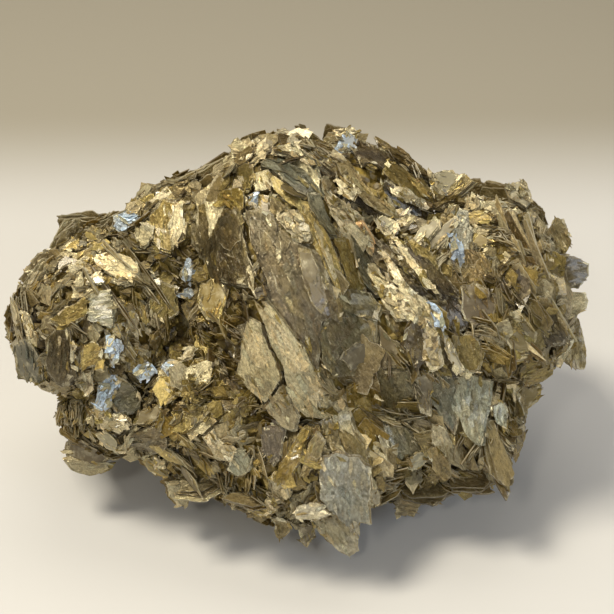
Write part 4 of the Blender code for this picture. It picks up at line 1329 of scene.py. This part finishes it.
def lay_drawn(sheets, plates, row, rng, flush):
    """A stack whose top sheet has a drawn outline; the ones under it stand out round it.
    Flush stacks follow the skin under them, so that neighbours meet edge to edge."""
    name, corners, facing, rise, thickness, layers, tint, heading, polish = row
    outline, middle, scale = brought_forward(corners, rise)
    local = [corner - middle for corner in outline]
    span = max(corner.length for corner in local) * 2
    stiff = polish >= STIFF
    if span < CHIPPED_SPAN and not flush and not stiff:
        local = chipped(local, rng)
    large = span > LARGE_SPAN
    pattern = Pattern(local, *(LARGE_CUT if large else SMALL_CUT), rng)
    outward = Vector((facing[0], facing[1], 1)).normalized()
    turn = np.array((
        (1, 0, outward.x),
        (0, 1, outward.y),
        (-facing[0], -facing[1], outward.z)))
    centre = float(even_skin(middle.x, middle.y))
    drape = STIFF_DRAPE if stiff else DRAPES[flush][large]
    sag = sag_at(middle, centre, facing, drape)
    drop = sag(pattern.co[:, 0], pattern.co[:, 1])
    step = thickness / layers
    stair = Vector((0.9 if middle.x > -6 else -0.7, rng.uniform(-0.8, 0.2)))
    stair *= min(0.05 * span, 0.6)
    place = np.array((middle.x, middle.y, centre + rise * RISE_SHARE - thickness / 2))
    for layer in range(layers):
        below = (layers - 1 - layer) / max(layers - 1, 1)
        grow = 1 + below * rng.uniform(0.02, 0.14) * min(1, 12 / span)
        slide = np.array((
            stair.x * below + rng.uniform(-0.012, 0.012) * span,
            stair.y * below + rng.uniform(-0.012, 0.012) * span,
            (0.5 - below) * (thickness - step)))
        if layer == layers - 1:
            slide[:2] = 0
            grow = 1
        # painted sky reflection: the sheets under a sky glint are tinted blue-grey
        shade = SKY_GLINT_HAZE if tint is SKY_GLINT else tint
        if layer < layers - 1:
            shade = rng.choice((shade, shade, shade, BROWN, SILVER))
        size = (grow, grow * rng.uniform(0.97, 1.04) if below else grow, step * 0.8)
        sheets.add(
            pattern, place + turn @ slide, turn, size, vary(shade, rng, 0.08), rng,
            lift=drop + waves(pattern, span, rng) * (0.3 if flush else 0.6), grain=heading,
            crackle=float(rng.random() < 0.4), polish=polish)
    lay_chips(sheets, plates, place, turn, local, sag, row, rng)
    lay_scales(sheets, plates, place, turn, local, sag, row, rng)
    for parent, corners_of, shade, gloss in LAYERS:
        if parent == name:
            layer = [Vector(corner) * scale - middle for corner in corners_of]
            lay_layer(sheets, place, turn, layer, thickness, sag, shade, heading, gloss, rng)
    for parent, width, points in SEAMS:
        if parent == name:
            track = [Vector(point) * scale - middle for point in points]
            lay_seam(sheets, plates, place, turn, track, width, thickness, sag, rng)


def lay_layer(sheets, place, turn, outline, thickness, sag, tint, heading, polish, rng):
    """A thin layer on top of a drawn sheet."""
    middle = sum(outline, Vector((0, 0))) / len(outline)
    pattern = Pattern([corner - middle for corner in outline], *LAYER_CUT, rng)
    flat = pattern.co[:, :2] + middle
    slide = np.array((middle.x, middle.y, thickness / 2 + LAYER_GAP))
    sheets.add(
        pattern, place + turn @ slide, turn, (1, 1, LAYER_THICKNESS), vary(tint, rng, 0.1), rng,
        lift=sag(flat[:, 0], flat[:, 1]), grain=heading, polish=polish)


def lay_seam(sheets, plates, place, turn, track, width, thickness, sag, rng):
    """Narrow dark slivers end to end along a crack."""
    for first, second in zip(track, track[1:]):
        edge = second - first
        at = (first + second) / 2
        slide = np.array((at.x, at.y, thickness / 2 + SEAM_GAP + sag(at.x, at.y)))
        fan = turn_matrix(math.degrees(math.atan2(edge.y, edge.x)), 0, 0)
        size = (edge.length * 0.64, width * rng.uniform(0.4, 0.7), SEAM_THICKNESS)
        sheets.add(
            rng.choice(plates), place + turn @ slide, turn @ fan, size,
            vary(UMBER, rng, 0.3), rng, polish=0.1)


def sag_at(middle, centre, facing, drape):
    """How far a drawn sheet bends from flat, to lie along the skin."""
    def sag(x, y):
        return drape * (
            even_skin(middle.x + x, middle.y + y) - centre + facing[0] * x + facing[1] * y)

    return sag


CHIP_SPACING = 2.4
CHIP_THICKNESS = 0.25


def lay_chips(sheets, plates, place, turn, local, sag, row, rng):
    """Slivers along the rim of a drawn sheet, where thin layers have torn."""
    thickness, _, tint = row[4:7]
    for first, second in zip(local, local[1:] + local[:1]):
        edge = second - first
        count = max(1, round(edge.length / CHIP_SPACING))
        for _ in range(count):
            at = first + edge * rng.random()
            at = at * rng.uniform(0.84, 0.98)
            length = rng.uniform(1.6, 4.6)
            slide = np.array((at.x, at.y, rng.uniform(-0.5, 0.48) * thickness + sag(at.x, at.y)))
            way = math.degrees(math.atan2(edge.y, edge.x)) + rng.gauss(0, 16)
            fan = turn_matrix(way, rng.gauss(0, 5), rng.gauss(0, 3))
            shade = rng.choice((tint, tint, CREAM, PEARL, BROWN, OLIVE))
            sheets.add(
                rng.choice(plates), place + turn @ slide, turn @ fan,
                (length / 2, length / 2 * rng.uniform(0.2, 0.5), CHIP_THICKNESS),
                vary(shade, rng, 0.2), rng, polish=rng.uniform(0, 0.5))


def holds(corners, u, v):
    """Whether an outline goes round a place."""
    crossings = 0
    for first, second in zip(corners, corners[1:] + corners[:1]):
        if (first.y > v) != (second.y > v):
            share = (v - first.y) / (second.y - first.y)
            crossings += u < first.x + share * (second.x - first.x)
    return crossings % 2 == 1


# Thin flakes on a drawn sheet: area for each, least and greatest length, how much that grows
# with the sheet, slimness, height above it, and how much heading, lean and dip stray
CRUST = (0.9, (1.5, 4.4), 0.0, (0.25, 0.65), (-0.2, 0.6), (30, 20, 7))
STEPS = (3.5, (2.0, 3.0), 0.5, (0.12, 0.34), (-0.02, 0.1), (9, 1.5, 0.7))
SCALE_THICKNESS = 0.14
ODD_STEPS = 0.10        # share of the shallow steps that have another tint


def lay_scales(sheets, plates, place, turn, local, sag, row, rng):
    """Thin flakes left on a drawn sheet: shallow steps on most, a thick crust on pale ones."""
    thickness, _, tint, heading, polish = row[4:9]
    crusty = tint in (CREAM, ROSE, SKY_GLINT) and polish < STIFF
    area, (shortest, longest), growth, slimness, heights, strays = CRUST if crusty else STEPS
    wide = max(abs(corner.x) for corner in local)
    high = max(abs(corner.y) for corner in local)
    for _ in range(round(4 * wide * high / area)):
        x, y = rng.uniform(-wide, wide), rng.uniform(-high, high)
        if not holds(local, x * 1.06, y * 1.06):
            continue
        length = rng.uniform(shortest, longest + wide * growth)
        slim = rng.uniform(*slimness)
        raised = thickness / 2 + rng.uniform(*heights)
        way, lean, dip = [rng.gauss(0, stray) for stray in strays]
        fan = turn_matrix(heading + way, lean, dip)
        pattern = rng.choice(plates)
        size = np.array((length / 2, length / 2 * slim, SCALE_THICKNESS))
        flat = (pattern.co * size) @ fan.T
        lift = sag(x + flat[:, 0], y + flat[:, 1]) - sag(x, y)
        shade = vary(tint, rng, 0.3)
        if crusty:
            # on a sky glint the crust is painted sky reflection, mostly pale blue; on pale sheets
            # it is cream and pearl flakes
            mixed = (SKY_GLINT, SKY_GLINT, SKY_GLINT, PEARL, STEEL) if tint is SKY_GLINT else (
                CREAM, PEARL, PEARL, SILVER, SILVER, TAN, OLIVE, tint)
            shade = vary(rng.choice(mixed), rng, 0.2)
        elif rng.random() < ODD_STEPS:
            shade = vary(rng.choice((PEARL, OLIVE, TAN)), rng, 0.2)
        sheets.add(
            pattern, place + turn @ np.array((x, y, raised + sag(x, y))), turn @ fan, size,
            shade, rng, lift=lift, grain=heading)


# ---------------------------------------------------------------- scattered flakes

# The front's regions, looked up in turn: middle (u, v), half sizes, length of the flakes,
# tilt from lying flat, heading, how far the heading wanders, palette
REGIONS = (
    ((-23, 8), (9, 16), (3, 8), (35, 80), -60, 50, "deep_olive"),
    ((-10, 40), (16, 9), (4, 9), (20, 60), 20, 50, "cream_edges"),
    ((50, 26), (16, 12), (3, 7), (20, 70), -30, 60, "cream_edges"),
    ((30, 26), (12, 10), (4, 9), (30, 75), 40, 40, "rim"),
    ((27, 5), (17, 18), (5, 11), (50, 80), -58, 14, "brown_sheets"),
    ((48, -2), (24, 22), (5, 11), (12, 60), -62, 30, "brown_sheets"),
    ((35, -30), (22, 14), (5, 11), (15, 70), -60, 50, "rim"),
    ((10, -34), (24, 16), (4, 10), (15, 65), -70, 50, "grey"),
    ((-20, -32), (24, 14), (4, 9), (8, 60), -45, 60, "fine_gold"),
    ((-44, 20), (26, 14), (3, 8), (8, 62), 10, 60, "fine_gold"),
    ((-48, -2), (26, 22), (4, 9), (8, 60), -60, 60, "fine_gold"),
    ((-46, -24), (20, 12), (4, 9), (15, 70), 10, 60, "grey"),
    ((-20, -10), (24, 20), (3, 7.5), (12, 66), -45, 60, "deep_olive"),
)
AROUND = ((4, 11), (6, 52), 0, 90, "rim")

FLAKE_STACKS = 13500    # places tried for a small stack
DUST = (1.8, 3.6)       # lengths of the smallest flakes, two stacks in every five
BARE_BEHIND = 0.3       # share of places left bare at the back
BARE_IN_FRONT = 0.8     # and where the drawn sheets are kept clear
PLATE_LENGTH = 7        # flakes longer than this have a plate's outline
BOOKLET_SPREAD = 2.5    # degrees that the flakes of a stack fan out
# Where the pieces of small stacks part from each other
FRONT_LEFT_EDGE = -14
BACK_LEFT_EDGE = -16
RIGHT_EDGE = 18
LOWER_EDGE = -16


def inside(ellipse, u, v, heading=0.0):
    """Whether a place is in an ellipse, given as its middle and half sizes."""
    (middle_u, middle_v), (half_u, half_v) = ellipse
    turn = math.radians(heading)
    du, dv = u - middle_u, v - middle_v
    along = du * math.cos(turn) + dv * math.sin(turn)
    across = dv * math.cos(turn) - du * math.sin(turn)
    return (along / half_u) ** 2 + (across / half_v) ** 2 < 1


def footprints():
    """The drawn sheets' outlines drawn in a little, for keeping flakes off their faces."""
    prints = []
    for rows in DRAWN.values():
        for row in rows:
            corners, middle, _ = brought_forward(row[1], row[3])
            reach = max((corner - middle).length for corner in corners)
            prints.append((middle, reach, [middle + (c - middle) * 0.8 for c in corners]))
    return prints


def under_sheet(u, v, prints):
    """Whether a place lies under a drawn sheet's face."""
    point = Vector((u, v))
    for middle, reach, corners in prints:
        if (point - middle).length > reach:
            continue
        if holds(corners, u, v):
            return True
    return False


def region_at(u, v):
    """How the small flakes lie at a place on the front."""
    for middle, half, *habit in REGIONS:
        if inside((middle, half), u, v):
            return habit
    return AROUND


def leaf_turn(outward, heading, tilt, spin):
    """Lies a leaf on the skin, tilts it about its heading and spins it in its own plane."""
    side = (Vector((1, 0, 0)) - outward * outward.x).normalized()
    across = outward.cross(side)
    basis = Matrix((side, across, outward)).transposed()
    turn = (
        basis @ Matrix.Rotation(math.radians(heading), 3, "Z")
        @ Matrix.Rotation(math.radians(tilt), 3, "X")
        @ Matrix.Rotation(math.radians(spin), 3, "Z"))
    return np.array(turn)


def lay_booklet(sheets, patterns, place, turn, size, tint, layers, rng):
    """A few parallel flakes, fanned a little about where they are rooted."""
    length, width, thickness = size
    polish = rng.random()
    for layer in range(layers):
        fan = turn_matrix(
            rng.uniform(-14, 14), rng.gauss(0, BOOKLET_SPREAD), rng.gauss(0, BOOKLET_SPREAD))
        offset = np.array((
            rng.uniform(-0.12, 0.12) * length,
            rng.uniform(-0.12, 0.12) * width,
            (layer - (layers - 1) / 2) * thickness * 1.4))
        scale = rng.uniform(0.7, 1.08)
        sheets.add(
            rng.choice(patterns), place + turn @ offset, turn @ fan,
            (length / 2 * scale, width / 2 * scale, thickness), vary(tint, rng, 0.12), rng,
            polish=polish, crackle=float(rng.random() < 0.2))


def flake_piece(front, u, v):
    """Which piece a small stack is sorted into."""
    if front and v < LOWER_EDGE:
        return "lower_flakes"
    left_edge = FRONT_LEFT_EDGE if front else BACK_LEFT_EDGE
    side = "left" if u < left_edge else "right" if u > RIGHT_EDGE else "middle"
    return ("" if front else "back_") + side + "_flakes"


def shown_clear(u, v, w):
    """Whether a place is seen where the drawn sheets are kept clear."""
    near = 1 - w / VIEW_DISTANCE
    return any(inside((middle, half), u / near, v / near, heading)
               for middle, half, heading in CLEAR)


def field(point, width, shift):
    """A value from -1 to 1 that changes slowly over the cluster, each shift its own way."""
    return noise.noise(point / width + Vector(shift))


def scatter(groups, flakes, plates, rng):
    """Small stacks all over the skin, lying as their neighbours do."""
    prints = footprints()
    for number in range(FLAKE_STACKS):
        point, outward = skin_place(rng)
        u, v, w = point
        front = outward.z > 0.1
        if not front and rng.random() < BARE_BEHIND:
            continue
        dust = number % 5 < 2
        if front and w > skin(u, v) - 3:
            if under_sheet(u, v, prints):
                continue
            if shown_clear(u, v, w) and rng.random() < BARE_IN_FRONT:
                continue
        habit = region_at(u, v) if front else AROUND
        (shortest, longest), (flattest, steepest), heading, wander, palette = habit
        drift = field(point, 13.0, (0, 0, 0))
        lie = field(point, 9.0, (40, 0, 0)) * 0.6 + 0.45
        shade = field(point, 8.0, (0, 70, 0)) * 0.9 + 0.5
        length = rng.uniform(shortest, longest)
        if dust:
            length = rng.uniform(*DUST)
        width = length * rng.uniform(0.45, 0.9)
        tilt = flattest + (steepest - flattest) * min(max(lie, 0), 1) + rng.gauss(0, 14)
        way = heading + drift * wander * 2.0 + rng.gauss(0, 26)
        side = 1 if field(point, 15.0, (0, 0, 90)) > -0.1 else -1
        turn = leaf_turn(outward, way, tilt * side, rng.uniform(-40, 40))
        root = rng.uniform(-0.3, 1.1) if dust else rng.uniform(-1.8, 0.7)
        place = np.array(point) + np.array(outward) * root
        tint = pick(palette, shade * 0.38 + rng.random() * 0.66 - 0.02)
        layers = rng.choice((1, 2, 2, 3, 4))
        thick = rng.uniform(0.14, 0.30)
        lay_booklet(
            groups[flake_piece(front, u, v)], plates if length > PLATE_LENGTH else flakes,
            place, turn, (length, width, thick), tint, layers, rng)


# ---------------------------------------------------------------- stage


FLOOR_SIZE = 3
FLOOR_LEVEL = -0.3
LIT_PLACE = (0, 0, 0.045)

# Name, place, size, power, tint
LIGHTS = (
    ("key", (-0.43, -0.14, 1.05), (0.32, 0.32), 14.4, (1.0, 0.91, 0.73)),
    ("spark", (-0.16, -0.52, 0.50), (0.07, 0.07), 0.8, (1.0, 0.94, 0.80)),
    ("window", (0.45, -0.42, 0.36), (0.30, 0.22), 1.3, (0.82, 0.90, 1.0)),
    ("ceiling", (0.05, 0.30, 0.85), (0.7, 0.5), 3.2, LAMPLIGHT),
    ("front_fill", (0.0, -0.80, 0.35), (0.5, 0.4), 1.55, LAMPLIGHT),
)
ROOM_TINT = (0.95, 0.88, 0.76)
ROOM_LIGHT = 0.15


def make_floor():
    clear_selection()
    bpy.ops.mesh.primitive_plane_add(size=FLOOR_SIZE, location=(0, 0, FLOOR_LEVEL * MM))
    floor = bpy.context.active_object
    floor.name = "floor"
    floor.data.materials.append(floor_finish())
    floor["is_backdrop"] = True


def aim(obj, place, target):
    obj.location = place
    obj.rotation_euler = (Vector(target) - Vector(place)).to_track_quat("-Z", "Y").to_euler()


def make_light(name, place, size, power, tint):
    light = bpy.data.lights.new(name, "AREA")
    light.shape = "RECTANGLE"
    light.size, light.size_y = size
    light.energy = power
    light.color = tint
    lamp = bpy.data.objects.new(name, light)
    bpy.context.scene.collection.objects.link(lamp)
    aim(lamp, place, LIT_PLACE)


def make_room():
    """The faint light from all round."""
    world = bpy.data.worlds.new("soft_room")
    bpy.context.scene.world = world
    world.use_nodes = True
    background = world.node_tree.nodes["Background"]
    background.inputs["Color"].default_value = colour(ROOM_TINT)
    background.inputs["Strength"].default_value = ROOM_LIGHT


def make_camera():
    camera = bpy.data.objects.new("camera", bpy.data.cameras.new("camera"))
    bpy.context.scene.collection.objects.link(camera)
    camera.data.lens = camera.data.sensor_width / 2 / math.tan(math.radians(VIEW_HALF_ANGLE))
    aim(camera, DISPLAY @ Vector((0, 0, VIEW_DISTANCE)), DISPLAY @ Vector(VIEW_AIM))
    bpy.context.scene.camera = camera
    bpy.context.scene.view_settings.view_transform = "Standard"


# ---------------------------------------------------------------- the cluster


def lay_books(groups, patterns, rng):
    for row in BOOKS:
        u, v = row[1:3]
        if abs(u) < RIDGE_HALF_WIDTH and RIDGE_FOOT < v < RIDGE_TOP:
            sunk = row[:9] + (row[9] - RIDGE_SUNK,) + row[10:]
            lay_book(groups["ridge_books"], patterns, sunk, rng)
        else:
            lay_broken_book(groups["rim_books"], patterns, row, rng)


def make_sheets():
    """Every sheet of the cluster, gathered into pieces."""
    rng = random.Random(SEED)
    flakes, plates, sheets = make_patterns(rng)
    names = [*DRAWN, "ridge_books", "rim_books"]
    for place in ("left", "middle", "right", "lower", "back_left", "back_middle", "back_right"):
        names.append(place + "_flakes")
    groups = {name: Sheets(name) for name in names}
    for name, rows in DRAWN.items():
        for row in rows:
            lay_drawn(groups[name], plates, row, rng, flush=name == "ridge_sheets")
    lay_books(groups, sheets, rng)
    scatter(groups, flakes, plates, rng)
    face = mica_face("mica_face")
    edge = mica_edge("mica_edge")
    return [group.make(face, edge) for group in groups.values()]


def main():
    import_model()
    cad_low, cad_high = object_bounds()
    low = np.array(cad_low) - PROUD * MM
    low[2] = FLOOR_CLEAR * MM
    Sheets.limits = (low, np.array(cad_high) + PROUD * MM)

    pieces = [make_ground()] + make_sheets()
    for piece in pieces:
        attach(piece, "root")
        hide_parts(NODE)
    make_floor()
    for light in LIGHTS:
        make_light(*light)
    make_room()
    make_camera()

    low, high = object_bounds()


main()
